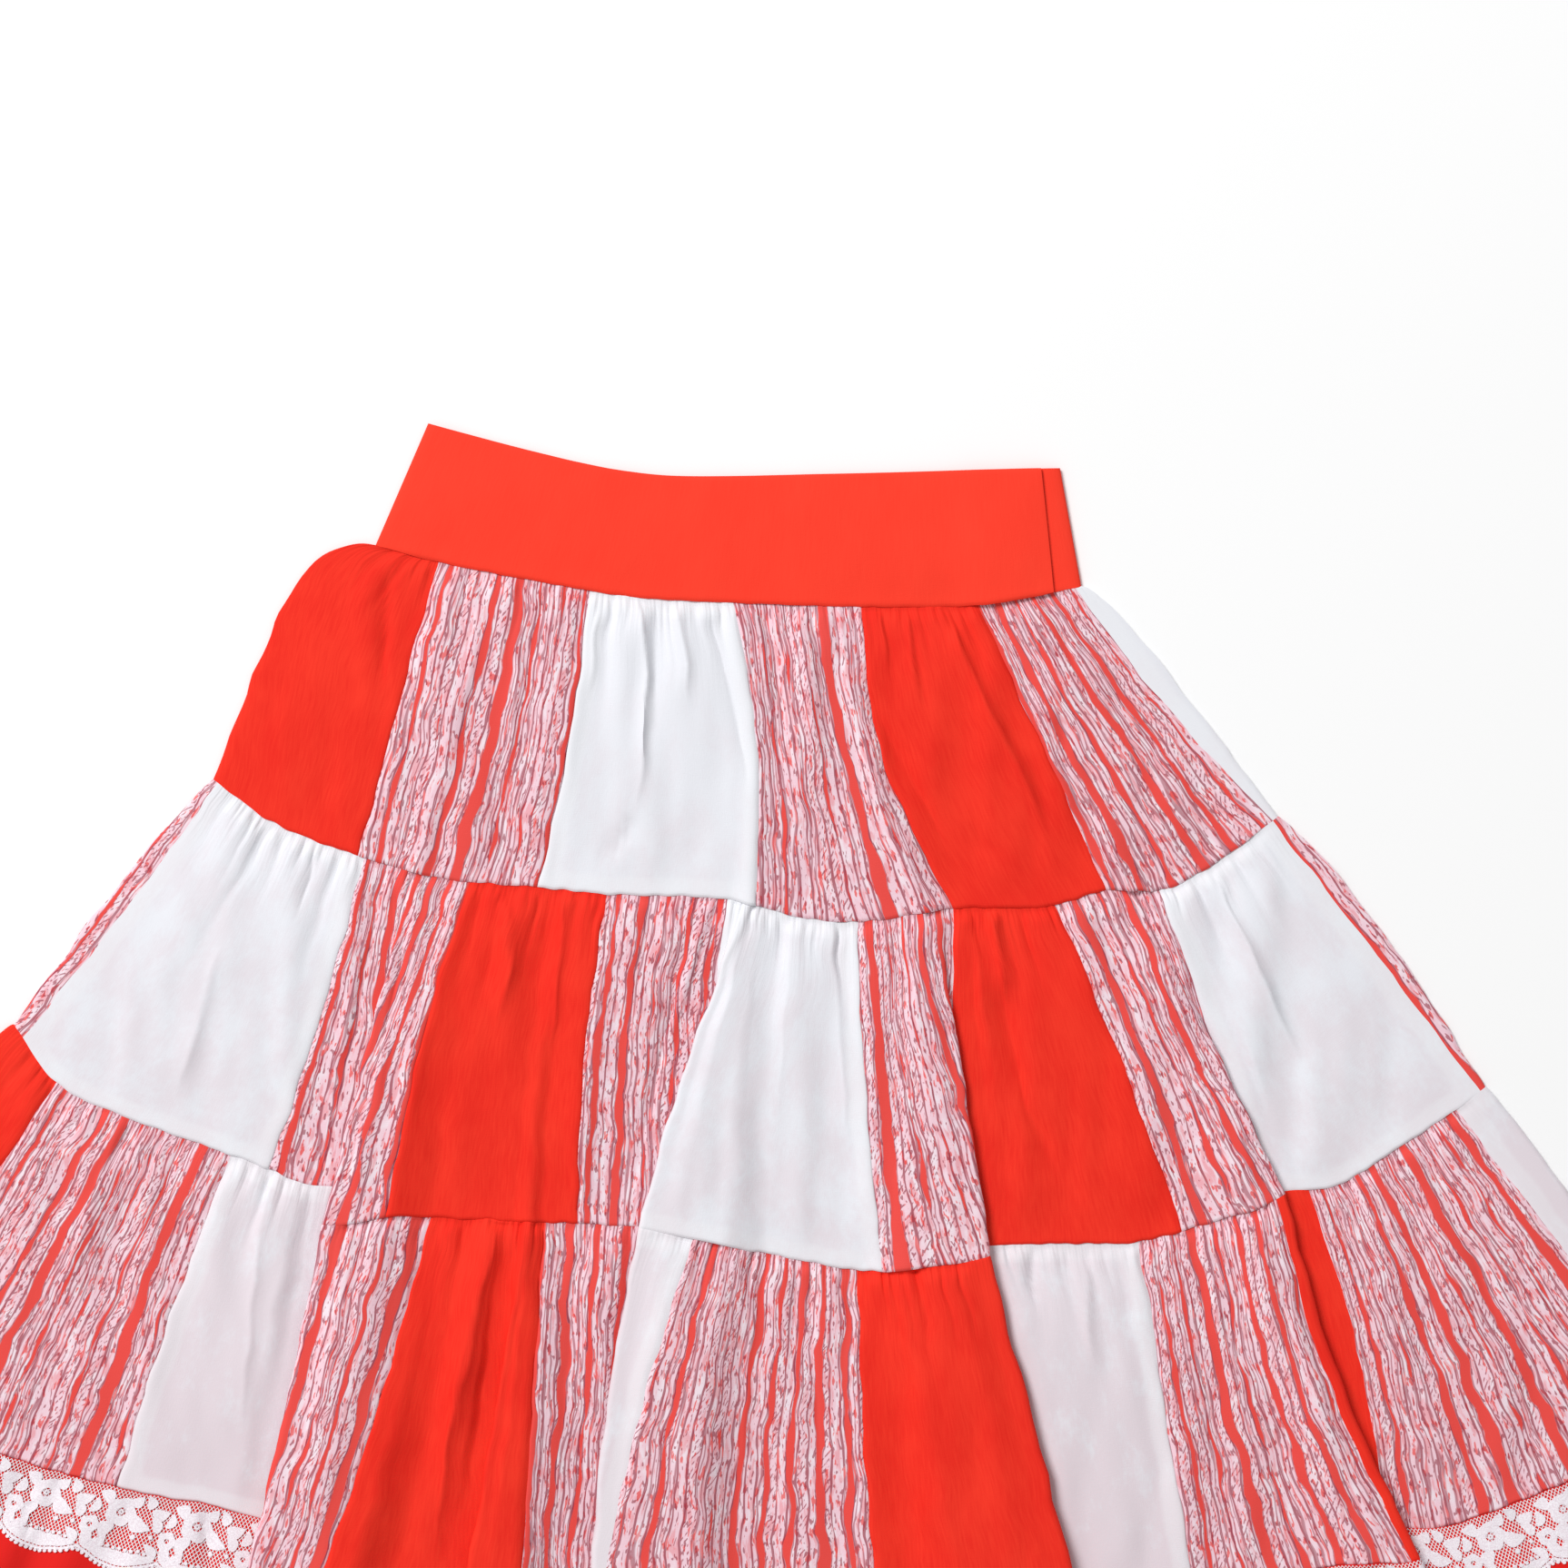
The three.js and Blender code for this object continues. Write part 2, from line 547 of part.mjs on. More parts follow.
// The patches of a tier, numbered from the one that wraps round the left side fold
function tierPieces(tier) {
  const panel = { ...tier, gatherFade: tierFade };
  const { seams, leftCount } = seamsRound(tier);
  const { columns, at } = columnsOver(panel, seams);
  const ends = seams.flatMap((row, i) => (row.side ? [] : [at[i]]));
  const onFront = tier.seams.length - 1;
  const numberOf = (i) => (i - leftCount + tier.patches) % tier.patches;
  const pieces = [];
  let i = 0;
  while (i < tier.patches) {
    const number = numberOf(i);
    const isBack = number >= onFront;
    const together = isBack ? Math.min(tier.backTogether, tier.patches - number, tier.patches - i) : 1;
    const numbers = Array.from({ length: together }, (_, n) => String(number + n + 1).padStart(2, '0'));
    const kind = together > 1 ? 'back' : tier.order[number % 4];
    const grid = clothGrid(panel, columns, isBack ? BACK_ROWS : TIER_ROWS, ends[i], ends[i + together]);
    pieces.push(cloth(`${tier.name}_${kind}_${numbers.join('_')}`, grid, tier.order[number % 4]));
    i += together;
  }
  return pieces;
}

// The ruffle and the lace are each cut in a front and a back that meet in the side folds
function hemPieces() {
  const { left, right } = RINGS.hemSeam;
  const { left: lowLeft, right: lowRight } = RINGS.hem;
  const side = (above, below) => ({ side: 'fold', above, below, bow: 0, high: 0.5 });
  const near = SIDE_COLUMNS[0];
  const panel = {
    ...RUFFLE,
    gatherFade: (t) => mix(0.5, 1, ease(t / 0.2)),
    lift: (t) => (LACE_WALL + SEAM_GAP) * (1 - ease((t - RUFFLE_ROWS[1]) / (1 - RUFFLE_ROWS[1]))),
  };
  const seams = [
    side(left, lowLeft),
    side(right, lowRight),
    side(2 * right - left, 2 * lowRight - lowLeft),
  ];
  const { columns, at } = columnsOver(panel, seams);
  const beside = (column, step) => ({ ...column, above: column.above + step, below: column.below + step });
  const round = [beside(columns[0], -near), ...columns, beside(columns[columns.length - 1], near)];
  return ['front', 'back'].flatMap((half, i) => {
    const grid = clothGrid(panel, round, RUFFLE_ROWS, at[i] + 1, at[i + 1] + 1);
    return [cloth(`ruffle_${half}`, grid, 'red'), piece(`lace_${half}`, laceWall(grid), 'lace')];
  });
}

// The lace lies on the upper part of the ruffle and ends in scallops
function laceWall({ points, ways, normals }) {
  const out = CLOTH_WALL / 2 + SEAM_GAP + LACE_WALL / 2;
  const strip = RUFFLE_LENGTH * RUFFLE_ROWS[1];
  let along = 0;
  const lines = points.map(([top, middle], i) => {
    along += i === 0 ? 0 : top.distanceTo(points[i - 1][0]);
    const scallop = Math.abs(Math.sin((Math.PI * along) / SCALLOP_PITCH));
    const share = (LACE_NARROW + LACE_SCALLOP * scallop) / strip;
    const [n0, n1] = normals[i];
    const low = n0.clone().lerp(n1, share).normalize();
    const upper = top.clone().addScaledVector(n0, out).addScaledVector(ways[i].above, LACE_START);
    const lower = top.clone().lerp(middle, share).addScaledVector(low, out);
    return { points: [upper, lower], normals: [n0, low] };
  });
  return wall(trimmed(lines.map((line) => line.points), ways), lines.map((line) => line.normals), LACE_WALL);
}

// The waistband starts under its own lap, runs round the back and ends on top of the lap
function waistband() {
  const panel = { above: 'bandTop', below: 'waist' };
  const columns = [];
  const stretch = (from, to, count, turn) => {
    const shares = Array.from({ length: count + 1 }, (_, i) => i / count);
    const near = (end, sign) => SIDE_COLUMNS.map((away) => (
      { above: end.above + sign * away, below: end.below + sign * away }
    ));
    const all = [
      ...shares.map((f) => ({ above: mix(from.above, to.above, f), below: mix(from.below, to.below, f) })),
      ...(from.fold ? near(from, 1) : []),
      ...(to.fold ? near(to, -1) : []),
    ];
    all.sort((a, b) => a.above - b.above);
    columns.push(...(columns.length ? all.slice(1) : all).map((column) => ({ ...column, turn })));
  };
  const fold = (side, turns) => {
    const place = (name) => RINGS[name][side] + turns * 2 * (RINGS[name].right - RINGS[name].left);
    return { fold: true, above: place('bandTop'), below: place('waist') };
  };
  const lapEnd = (turns, under) => {
    const place = (name, x) => x - under + turns * 2 * (RINGS[name].right - RINGS[name].left);
    return { above: place('bandTop', LAP.above), below: place('waist', LAP.below) };
  };
  stretch(lapEnd(0, LAP_UNDER), fold('right', 0), 2, 0);
  stretch(fold('right', 0), fold('left', 1), 14, 0);
  stretch(fold('left', 1), lapEnd(1, 0), 14, 1);
  const point = (name, place, turn, lapX) => {
    const { point: middle } = ringPoint(name, place, BAND_WALL / 2);
    const { x } = unroll(RINGS[name], place);
    middle.z += turn * LAP_LIFT * ease((x - lapX + LAP_UNDER + LAP_RAMP) / LAP_RAMP);
    return middle;
  };
  const points = columns.map(({ above, below, turn }) => [
    point('bandTop', above, turn, LAP.above),
    point('waist', below, turn, LAP.below),
  ]);
  const ways = columns.map((column) => ({
    above: acrossSeam(panel.above, column.above),
    below: acrossSeam(panel.below, column.below),
  }));
  return piece('waistband', wall(trimmed(points, ways), outward(points, ways), BAND_WALL), 'red');
}

const skirt = new THREE.Group();
skirt.add(waistband(), ...TIERS.flatMap(tierPieces), ...hemPieces());
const outline = new THREE.Box3().setFromObject(skirt);
const middle = outline.getCenter(new THREE.Vector3());
skirt.position.set(-middle.x, -middle.y, -outline.min.z);
skirt.updateMatrixWorld(true);

export default skirt;
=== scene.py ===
"""A square dance skirt laid flat: patchwork tiers under a waistband, with a ruffle and a lace."""
import json
import math
from collections import namedtuple

import bpy
import numpy as np
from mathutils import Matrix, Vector

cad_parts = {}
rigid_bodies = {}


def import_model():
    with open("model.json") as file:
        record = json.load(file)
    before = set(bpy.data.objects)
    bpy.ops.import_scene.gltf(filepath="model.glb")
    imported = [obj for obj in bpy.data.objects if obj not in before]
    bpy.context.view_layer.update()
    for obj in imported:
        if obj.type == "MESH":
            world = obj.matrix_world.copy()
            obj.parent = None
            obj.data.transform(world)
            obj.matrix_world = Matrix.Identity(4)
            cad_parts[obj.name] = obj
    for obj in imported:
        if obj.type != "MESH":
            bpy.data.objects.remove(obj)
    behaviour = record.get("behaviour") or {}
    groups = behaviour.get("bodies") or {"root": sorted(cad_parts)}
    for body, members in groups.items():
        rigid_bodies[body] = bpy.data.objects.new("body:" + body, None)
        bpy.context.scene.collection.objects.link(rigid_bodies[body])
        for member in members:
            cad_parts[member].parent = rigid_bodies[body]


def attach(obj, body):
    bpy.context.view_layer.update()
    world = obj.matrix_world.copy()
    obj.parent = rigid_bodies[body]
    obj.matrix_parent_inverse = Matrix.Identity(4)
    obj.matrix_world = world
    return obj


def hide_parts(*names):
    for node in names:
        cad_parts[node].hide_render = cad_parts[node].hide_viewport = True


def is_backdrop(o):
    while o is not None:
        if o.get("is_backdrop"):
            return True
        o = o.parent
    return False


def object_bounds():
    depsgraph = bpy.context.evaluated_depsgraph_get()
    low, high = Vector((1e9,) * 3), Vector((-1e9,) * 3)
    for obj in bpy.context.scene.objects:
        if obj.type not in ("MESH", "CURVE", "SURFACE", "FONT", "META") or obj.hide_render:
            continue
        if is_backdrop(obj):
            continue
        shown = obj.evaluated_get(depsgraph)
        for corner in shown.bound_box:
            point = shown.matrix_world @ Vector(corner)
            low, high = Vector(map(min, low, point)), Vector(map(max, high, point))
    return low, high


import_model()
CAD_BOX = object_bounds()

bl_info = {
    "name": "Square dance skirt",
    "version": (1, 0, 0),
    "blender": (4, 5, 0),
    "location": "View3D > Sidebar > Skirt",
    "description": "Builds a patchwork tiered skirt as cloth, lace and gathers",
    "category": "Add Mesh",
}

# All tables are in millimetres on the table under the skirt, x to the right and y to the waist.
# The middle of the CAD box lies here in those coordinates.
MIDDLE = (4.247, -263.646)

# Heights of the middle of the cloth on the front and on the back, and the width of a side bend
FRONT_Z = 3.4
BACK_Z = 0.5
SIDE_BEND = 6.0

# The front's cloth stays above the back's, and its relief stays below this much over its form
FRONT_LOWEST = 2.3
RELIEF_MOST = 9.0

# Puff of the front between two seams, and how far from a side fold it is full
PUFF = 2.0
SIDE_EASE = 24.0

# Where the back's plainer line meets the front's, as shares of a ring's width
BACK_SHARES = (0, 0.03, 0.15, 0.35, 0.5, 0.65, 0.85, 0.97, 1)

# Each ring of the skirt on the front, as points (x, y) from its left side fold to its right one
RINGS = {
    "band_top": (
        (-157, 92.6), (-134.9, 86.4), (-96, 76.3), (-61, 68.6), (-25.4, 64.8), (50, 65.8),
        (123.8, 67.7), (175.4, 69.1),
    ),
    "waist": (
        (-184.8, 28.3), (-148.8, 19.2), (-96, 9.1), (-49.4, 1.5), (2.4, -1.5), (70.1, -3.6),
        (133.4, -2.9), (163.7, 1.9), (186.6, 6.7),
    ),
    "first_seam": (
        (-270.7, -95), (-240, -117.1), (-196.3, -134.4), (-150, -147), (-100.8, -151.5),
        (-63.4, -155.3), (-1.4, -158), (45, -168.6), (76, -169.4), (119.5, -162.9),
        (169.4, -161.8), (199.2, -153.6), (231.4, -152.6), (263, -135.4), (290.4, -114.7),
    ),
    "second_seam": (
        (-375.8, -224.6), (-353.3, -254.9), (-316.3, -273.1), (-280.3, -286.1), (-241, -300.5),
        (-205, -316), (-172, -324), (-121.4, -327.4), (-46.6, -331.2), (27.8, -346.1),
        (72, -353.8), (98, -351.5), (143, -341), (183.4, -339.5), (217.9, -338.5),
        (271.7, -323), (296, -312.5), (321.6, -309), (351.4, -290.9), (384, -269.3),
        (400.3, -257.3),
    ),
    "hem_seam": (
        (-499.2, -368.6), (-441.6, -420), (-384, -449.8), (-306.7, -471.4), (-262, -480.5),
        (-225.6, -503), (-168, -516), (-108, -522.2), (-19.2, -530.4), (78.2, -540),
        (182.4, -532), (244.3, -522), (312, -511), (357.6, -496), (418.6, -475.2),
        (480, -446.4), (513.1, -413.8),
    ),
    "hem": (
        (-551, -429.5), (-488, -486), (-414, -524), (-326, -549), (-240, -577), (-174, -595),
        (-20, -611), (80, -620), (190, -612), (322, -590), (380, -573), (448, -549),
        (522, -514), (559.5, -479),
    ),
}

# Long folds that run down over the tiers. A lean of 1 lays the left cloth over the right one.
# On each ring: its middle, half the width it draws on, its lap, its rise and its step along y.
Fold = namedtuple("Fold", "name lean ring x reach lap rise step")
FOLDS = (
    Fold("left print", -1, "first_seam", -169, 14, 0, 2, 0),
    Fold("left print", -1, "second_seam", -198, 30, 30, 8, 14),
    Fold("left print", -1, "hem_seam", -227.5, 40, 50, 12, 15),
    Fold("left print", -1, "hem", -246, 42, 54, 12, 12),
    Fold("left red", -1, "second_seam", -108.5, 12, 0, 3, 0),
    Fold("left red", -1, "hem_seam", -128, 26, 20, 11, 0),
    Fold("left red", -1, "hem", -138, 27, 22, 11, 0),
    Fold("middle white", -1, "first_seam", 6.8, 14, 0, 2, 0),
    Fold("middle white", -1, "second_seam", -26.6, 34, 40, 8, 0),
    Fold("middle white", -1, "hem_seam", -47.5, 40, 50, 12, 0),
    Fold("middle white", -1, "hem", -52, 41, 52, 12, 0),
    Fold("middle red", 1, "waist", 66, 12, 0, 0, 0),
    Fold("middle red", 1, "first_seam", 112.8, 16, 0, 4, 0),
    Fold("middle red", 1, "second_seam", 119.2, 34, 40, 8, -3),
    Fold("middle red", 1, "hem_seam", 162, 42, 56, 12, -10),
    Fold("middle red", 1, "hem", 183, 43, 58, 12, -8),
    Fold("right red", 1, "first_seam", 221.3, 16, 0, 3, 0),
    Fold("right red", 1, "second_seam", 288.7, 22, 12, 7, 0),
    Fold("right red", 1, "hem_seam", 352.8, 30, 24, 11, -10),
    Fold("right red", 1, "hem", 380, 31, 26, 11, -8),
)

# A fold's width as shares from -1 to 1: its top runs to -EDGE_FROM, its edge to -EDGE_TO, the
# turned layer to EDGE_TO and the hidden bend to EDGE_FROM
EDGE_FROM = 0.4
EDGE_TO = 0.25

# Shares that each keep one column of the mesh, unless that is too near to a patch's seam
FOLD_ANCHORS = (-1, -0.86, -0.63, -0.4, -0.3, -0.25, 0, 0.25, 0.3, 0.4, 0.6, 0.8, 1)
ANCHOR_CLEAR = 0.6

# A fold with a shorter lap is still partly a ridge
FIRST_LAP = 12.0

# The top layer has climbed this far before the layers under it begin, over this width
RISE_CLEAR = 3.0
RISE_WIDE = 26.0

# The hidden stretch of a fold: where it begins and ends, each with the share over which it does
# so, and the lap at which it is all hidden
HIDDEN_FROM = (-0.62, 0.16)
HIDDEN_TO = (0.8, 0.15)
HIDDEN_LAP = 14.0

# Seams of a tier across the front, its side folds first and last: x above and below, how far the
# seam bows to the right on the way down, and the height share at which the bow is fullest.
# "behind" is how much of the red cloth behind shows through at the tier's top and bottom.
Seam = namedtuple("Seam", "above below bow high", defaults=(0.0, 0.5))
Tier = namedtuple("Tier", "name above below length patches order left_wrap right_wrap behind seams")
TIERS = (
    Tier(
        "tier1", "waist", "first_seam", 155, 12, ("red", "print", "white", "print"),
        (29, 22), (60, 90), (0.1, 0.4),
        (
            Seam(-184.8, -270.7, -25, 0.2), Seam(-151.7, -194.4), Seam(-72, -99.8, 3),
            Seam(3.4, 15.4, 7), Seam(71, 119.5, -13), Seam(132.5, 200.2), Seam(184, 288, -4),
            Seam(186.6, 290.4, 7, 0.2),
        ),
    ),
    Tier(
        "tier2", "first_seam", "second_seam", 182, 20, ("print", "white", "print", "red"),
        (54, 72), (54, 74), (0.35, 0.6),
        (
            Seam(-270.7, -375.8, -4, 0.4), Seam(-268.3, -371, 2), Seam(-191, -241.4, 3),
            Seam(-135.4, -172.6, -4), Seam(-63.4, -78.7, -4), Seam(0.5, -41.9, -4),
            Seam(69.1, 82, -2), Seam(119.5, 136.2, 3), Seam(172.8, 240, 3), Seam(228, 298),
            Seam(288, 397.4), Seam(290.4, 400.3, 7, 0.35),
        ),
    ),
    Tier(
        "tier3", "second_seam", "hem_seam", 190, 28, ("red", "print", "white", "print"),
        (33, 27), (40, 62), (0.7, 1.0),
        (
            Seam(-375.8, -499.2, -4, 0.2), Seam(-353.3, -453.6), Seam(-261.6, -321.6, -2),
            Seam(-210.6, -244.3), Seam(-156, -197.2, 3), Seam(-96, -105), Seam(-41.9, -65.5, -4),
            Seam(-2.5, -30.3, -4), Seam(68.6, 80.6, -2), Seam(119.2, 162), Seam(136.2, 183),
            Seam(217, 246.2), Seam(278.3, 340, -8), Seam(308.7, 366.5, 6), Seam(385, 503),
            Seam(400.3, 513.1, 2, 0.3),
        ),
    ),
)
RUFFLE = Tier(
    "ruffle", "hem_seam", "hem", 80, 2, ("red",), (0, 0), (0, 0), (1.0, 1.0),
    (Seam(-499.2, -551), Seam(513.1, 559.5)),
)

# Tier 3's back patches share a node in pairs
BACK_PAIRS = {
    16: "tier3_back_16_17", 17: "tier3_back_16_17", 18: "tier3_back_18_19",
    19: "tier3_back_18_19", 20: "tier3_back_20_21", 21: "tier3_back_20_21",
    22: "tier3_print_22", 23: "tier3_back_23_24", 24: "tier3_back_23_24",
    25: "tier3_back_25_26", 26: "tier3_back_25_26", 27: "tier3_back_27_28",
    28: "tier3_back_27_28",
}

# Rolls and grooves along seams and edges: height, half width and distance from the edge
Bead = namedtuple("Bead", "height half away", defaults=(0.0,))
TOP_GROOVE = Bead(0.5, 0.7)
LOW_ROLL = Bead(0.5, 6.0)
LOW_GROOVE = Bead(0.9, 0.6)
PATCH_GROOVE = Bead(0.55, 0.9)
PATCH_ROLL = Bead(0.22, 3.0, 3.5)
BAND_TOP_GROOVE = Bead(0.5, 0.8)
BAND_ROLL = Bead(0.5, 4.0)
BAND_GROOVE = Bead(0.8, 0.6)

# Soft waves of the cloth: height, size, how much x and y are stretched first, and a salt
Wave = namedtuple("Wave", "high size stretch salt")
TIER_WAVES = (Wave(1.0, 30, (1, 0.18), 0), Wave(0.3, 15, (1, 0.3), 1))
BAND_WAVES = (Wave(0.3, 60, (1, 1.4), 7), Wave(0.08, 25, (1.5, 1), 9))
SEAM_WAVES = (Wave(0.25, 6.5, (1, 1), 61), Wave(0.3, 17, (1, 1), 62))
SIDEWAYS_WAVES = (Wave(0.35, 13, (1, 1), 71), Wave(0.7, 36, (1, 1), 72))
DOWNWARD_WAVES = (Wave(0.3, 20, (1, 1), 73),)

# The waves and the sideways wandering reach their size this far from the seams above and below
WAVES_FROM = (30.0, 26.0)
WANDER_FROM = (14.0, 10.0)

# The cloth rises under a seam over the first distance, and sinks again over the last one
GATHER_LIFT = 2.6
LIFT_OVER = 7.0
SINK_FROM = 10.0
SINK_OVER = 110.0

# How much of the gathers and the waves is left on the back, pressed flat under the skirt
BACK_GATHERS = 0.35
BACK_WAVES = 0.25
BACK_MOST = 1.2

# Bands of gathers under a seam: mean distance apart, half width of a valley, depth and length
Gathers = namedtuple("Gathers", "apart half deep long")
TIER_GATHERS = (
    Gathers(5.0, 0.7, 1.7, 15),
    Gathers(10.0, 1.3, 2.3, 44),
    Gathers(24, 2.4, 2.3, 105),
    Gathers(48, 6.0, 1.7, 180),
)
RUFFLE_GATHERS = (
    Gathers(7.0, 1.5, 0.7, 14),
    Gathers(12.5, 3.0, 1.3, 50),
    Gathers(25, 6.0, 2.6, 120),
)

# How unevenly long, deep and wide single gathers are, as shares of their band's values
LONG_RANGE = (0.45, 1.25)
DEEP_RANGE = (0.5, 1.3)
HALF_RANGE = (0.8, 1.3)

# Distance down a seam over which the fullness of its gathers fades
FULLNESS_FADE = 22.0

# Patches and tiers are cut this far apart from one cloth, so none repeats another's print
PATCH_APART = 370
TIER_APART = 911

# Creases that stand out: width, height (a ridge above zero, a valley below) and which side is
# steeper (1 the right one, -1 the left one), along points (x, y) from the top down
Crease = namedtuple("Crease", "tier width height lean points")
CREASES = (
    Crease("tier1", 5.0, 3.2, 0.6, ((-46, -5), (-41, -34), (-44, -78), (-46, -113))),
    Crease("tier1", 4.5, -1.9, 0.0, ((-48, -118), (-58, -129), (-70, -136))),
    Crease("tier1", 4.0, 1.9, 0.4, ((-26, -5), (-22, -27), (-20, -56))),
    Crease("tier1", 5.0, -1.9, 0.0, ((-8, -8), (0, -41), (7, -71), (12, -108))),
    Crease("tier1", 4.0, 1.6, 0.3, ((-67, -6), (-70, -26), (-72, -50))),
    Crease("tier1", 4.0, 1.6, 0.3, ((81, -6), (83, -24), (84, -39))),
    Crease("tier1", 3.0, 2.2, 0.5, ((96, -7), (98, -29), (99, -44), (102, -57))),
    Crease(
        "tier1", 6.0, 3.8, 0.7,
        ((119, -12), (122, -24), (129, -38), (140, -64), (154, -88), (162, -106), (172, -144)),
    ),
    Crease("tier1", 7.0, -3.2, 0.0, ((73, -48), (90, -81), (108, -113), (118, -138))),
    Crease("tier1", 8.0, -1.6, 0.0, ((128, -125), (139, -132), (149, -138))),
    Crease("tier1", 4.0, -2.2, 0.0, ((175, -16), (180, -29), (186, -42))),
    Crease("tier1", 6.0, -3.2, 0.0, ((175, -61), (180, -93), (192, -119), (204, -145))),
    Crease("tier1", 3.0, -2.2, 0.0, ((-180, 12), (-180, -26), (-182, -50))),
    Crease("tier1", 6.0, -2.6, 0.0, ((-254, -36), (-240, -44), (-226, -47))),
    Crease("tier1", 6.0, -2.6, 0.0, ((-260, -53), (-247, -60), (-231, -64))),
    Crease("tier1", 5.0, 1.6, 0.3, ((-130, 10), (-133, -29), (-142, -67))),
    Crease("tier1", 5.0, 1.4, -0.3, ((-108, 5), (-110, -38), (-115, -96))),
    Crease("tier1", 6.0, 1.6, 0.3, ((38, -10), (43, -48), (50, -91))),
    Crease("tier2", 5.0, 2.6, 0.5, ((-117, -158), (-112, -192), (-123, -228))),
    Crease("tier2", 5.0, 2.2, 0.5, ((-86, -157), (-88, -201), (-93, -247))),
    Crease("tier2", 6.0, -3.5, 0.0, ((-174, -153), (-170, -182), (-178, -219), (-185, -247))),
    Crease("tier2", 5.0, 3.2, -0.6, ((139, -165), (143, -179), (144, -200), (148, -215))),
    Crease(
        "tier2", 7.0, -3.2, 0.0,
        ((144, -204), (152, -242), (158, -266), (172, -299), (194, -327)),
    ),
    Crease(
        "tier2", 5.0, 2.9, 0.5,
        ((258, -147), (264, -162), (276, -186), (293, -223), (304, -250)),
    ),
    Crease("tier2", 7.0, 1.9, 0.3, ((-269, -187), (-278, -226), (-290, -264))),
    Crease("tier2", 5.0, -1.9, 0.0, ((-218, -134), (-221, -151), (-226, -168))),
    Crease(
        "tier2", 6.0, -3.2, 0.0,
        ((-24, -181), (-28, -215), (-34, -239), (-41, -274), (-53, -322)),
    ),
    Crease(
        "tier2", 4.0, -3.5, 0.0,
        ((217, -155), (227, -179), (244, -210), (258, -236), (276, -261)),
    ),
    Crease("tier2", 8.0, 0.9, 0.2, ((34, -168), (31, -221), (26, -283))),
    Crease("tier2", 7.0, 1.3, -0.2, ((55, -173), (60, -235), (67, -307))),
    Crease("tier2", 7.0, 1.4, 0.3, ((96, -173), (101, -221), (110, -283))),
    Crease("tier2", 6.0, -1.6, 0.0, ((199, -168), (221, -216), (245, -269))),
    Crease(
        "tier3", 5.0, 2.6, 0.5,
        ((138, -355), (146, -382), (160, -422), (162, -470), (165, -510)),
    ),
    Crease("tier3", 4.0, -3.2, 0.0, ((162, -342), (161, -358), (160, -375))),
    Crease(
        "tier3", 9.0, 4.5, 0.0,
        ((-119, -325), (-125, -350), (-136, -395), (-146, -440), (-155, -520)),
    ),
    Crease("tier3", 6.0, 1.9, 0.3, ((191, -347), (190, -379), (192, -413))),
    Crease("tier3", 7.0, 1.9, 0.3, ((-242, -300), (-250, -374), (-257, -451))),
    Crease("tier3", 8.0, 1.6, 0.3, ((14, -350), (12, -403), (7, -470))),
    Crease("tier3", 7.0, -1.6, 0.0, ((43, -353), (46, -403), (50, -470))),
    Crease("tier3", 7.0, 1.6, -0.3, ((-322, -283), (-338, -331), (-355, -379))),
    Crease("tier3", 7.0, 1.6, 0.3, ((250, -336), (262, -394), (278, -461))),
    Crease("tier3", 7.0, 1.6, 0.3, ((336, -322), (355, -379), (379, -451))),
    Crease("tier3", 6.0, -1.6, 0.0, ((370, -293), (394, -350), (422, -413))),
    Crease("tier3", 6.0, 1.6, 0.3, ((-125, -331), (-133, -379), (-144, -451))),
    Crease("ruffle", 2.5, -2.5, 0.5, ((-367, -448), (-367, -470), (-366, -500))),
    Crease("ruffle", 2.5, -2.5, -0.5, ((-277, -470), (-275, -490), (-273, -520))),
)

# A crease is a soft form with a sharp line on it: the height of both, how much faster the sharp
# one falls off, and how much a full lean narrows the steeper side
CREASE_PARTS = 0.6
CREASE_SHARP = 3.5
CREASE_LEAN = 0.55

# How much of the seams' ripple a ring has, where that isn't all of it
RIPPLE = {"band_top": 0.0, "waist": 0.45}

# The waistband: its height, the thickness of its two layers, its puff, and how high the middle of
# its cloth lies on the back
BAND_HEIGHT = 67.0
BAND_THICK = 1.1
BAND_PUFF = 0.9
BAND_BACK_Z = 0.8

# Distances between its mesh's columns, and of the ones beside its side folds and its ends
BAND_SPACING = 2.2
BAND_NEAR = (0.3, 0.9, 1.8, 3.0, 4.5, 6.5)

# The lap of the waistband: the x of its edge at the top and at the waist seam, how far it reaches
# under, how high its top layer lies and over which width that rises
LAP = (165.6, 172.3)
LAP_UNDER = 30.0
LAP_RISE = 2.0
LAP_RAMP = 26.0

# The ruffle: how far its upper part is lifted, how full it is, and its flutes' swing and pitch
RUFFLE_LIFT = 0.9
RUFFLE_FULL = 2.2
RUFFLE_SWING = 2.2
FLUTE_PITCH = 31.0

# The columns of its mesh lie this much further apart than the tiers'
RUFFLE_COARSER = 1.4

# The lace on the ruffle: its depth between scallops, what a scallop adds, and their pitch
LACE_NARROW = 36.0
LACE_SCALLOP = 7.0
SCALLOP_PITCH = 40.0

# How high over the ruffle's face the middle of the net lies, its thickness, and from there the
# flowers' lower and upper faces, with a step from one figure to the next
LACE_GAP = 0.25
NET_THICK = 0.3
FLOWER_LOW = 0.05
FLOWER_HIGH = 0.45
FLOWER_STEP = 0.008

# Diamonds of the lace's net, and the print's stripes, lanes, hatching and grain lines
NET_PITCH = 2.0
STRIPE_PITCH = 13.5
LANE_PITCH = 5.2
HATCH_PITCH = 3.0
GRAIN_PITCH = 2.5

# The print's lanes are numbered from here. Below one share they have grain lines, and above the
# other one hatching.
LANE_NUMBERS = 300.0
LINED_TO = 0.34
HATCHED_FROM = 0.72

# Where the white cloth's double seam allowance ends, from the seam
ALLOWANCE = (7.5, 11.0)

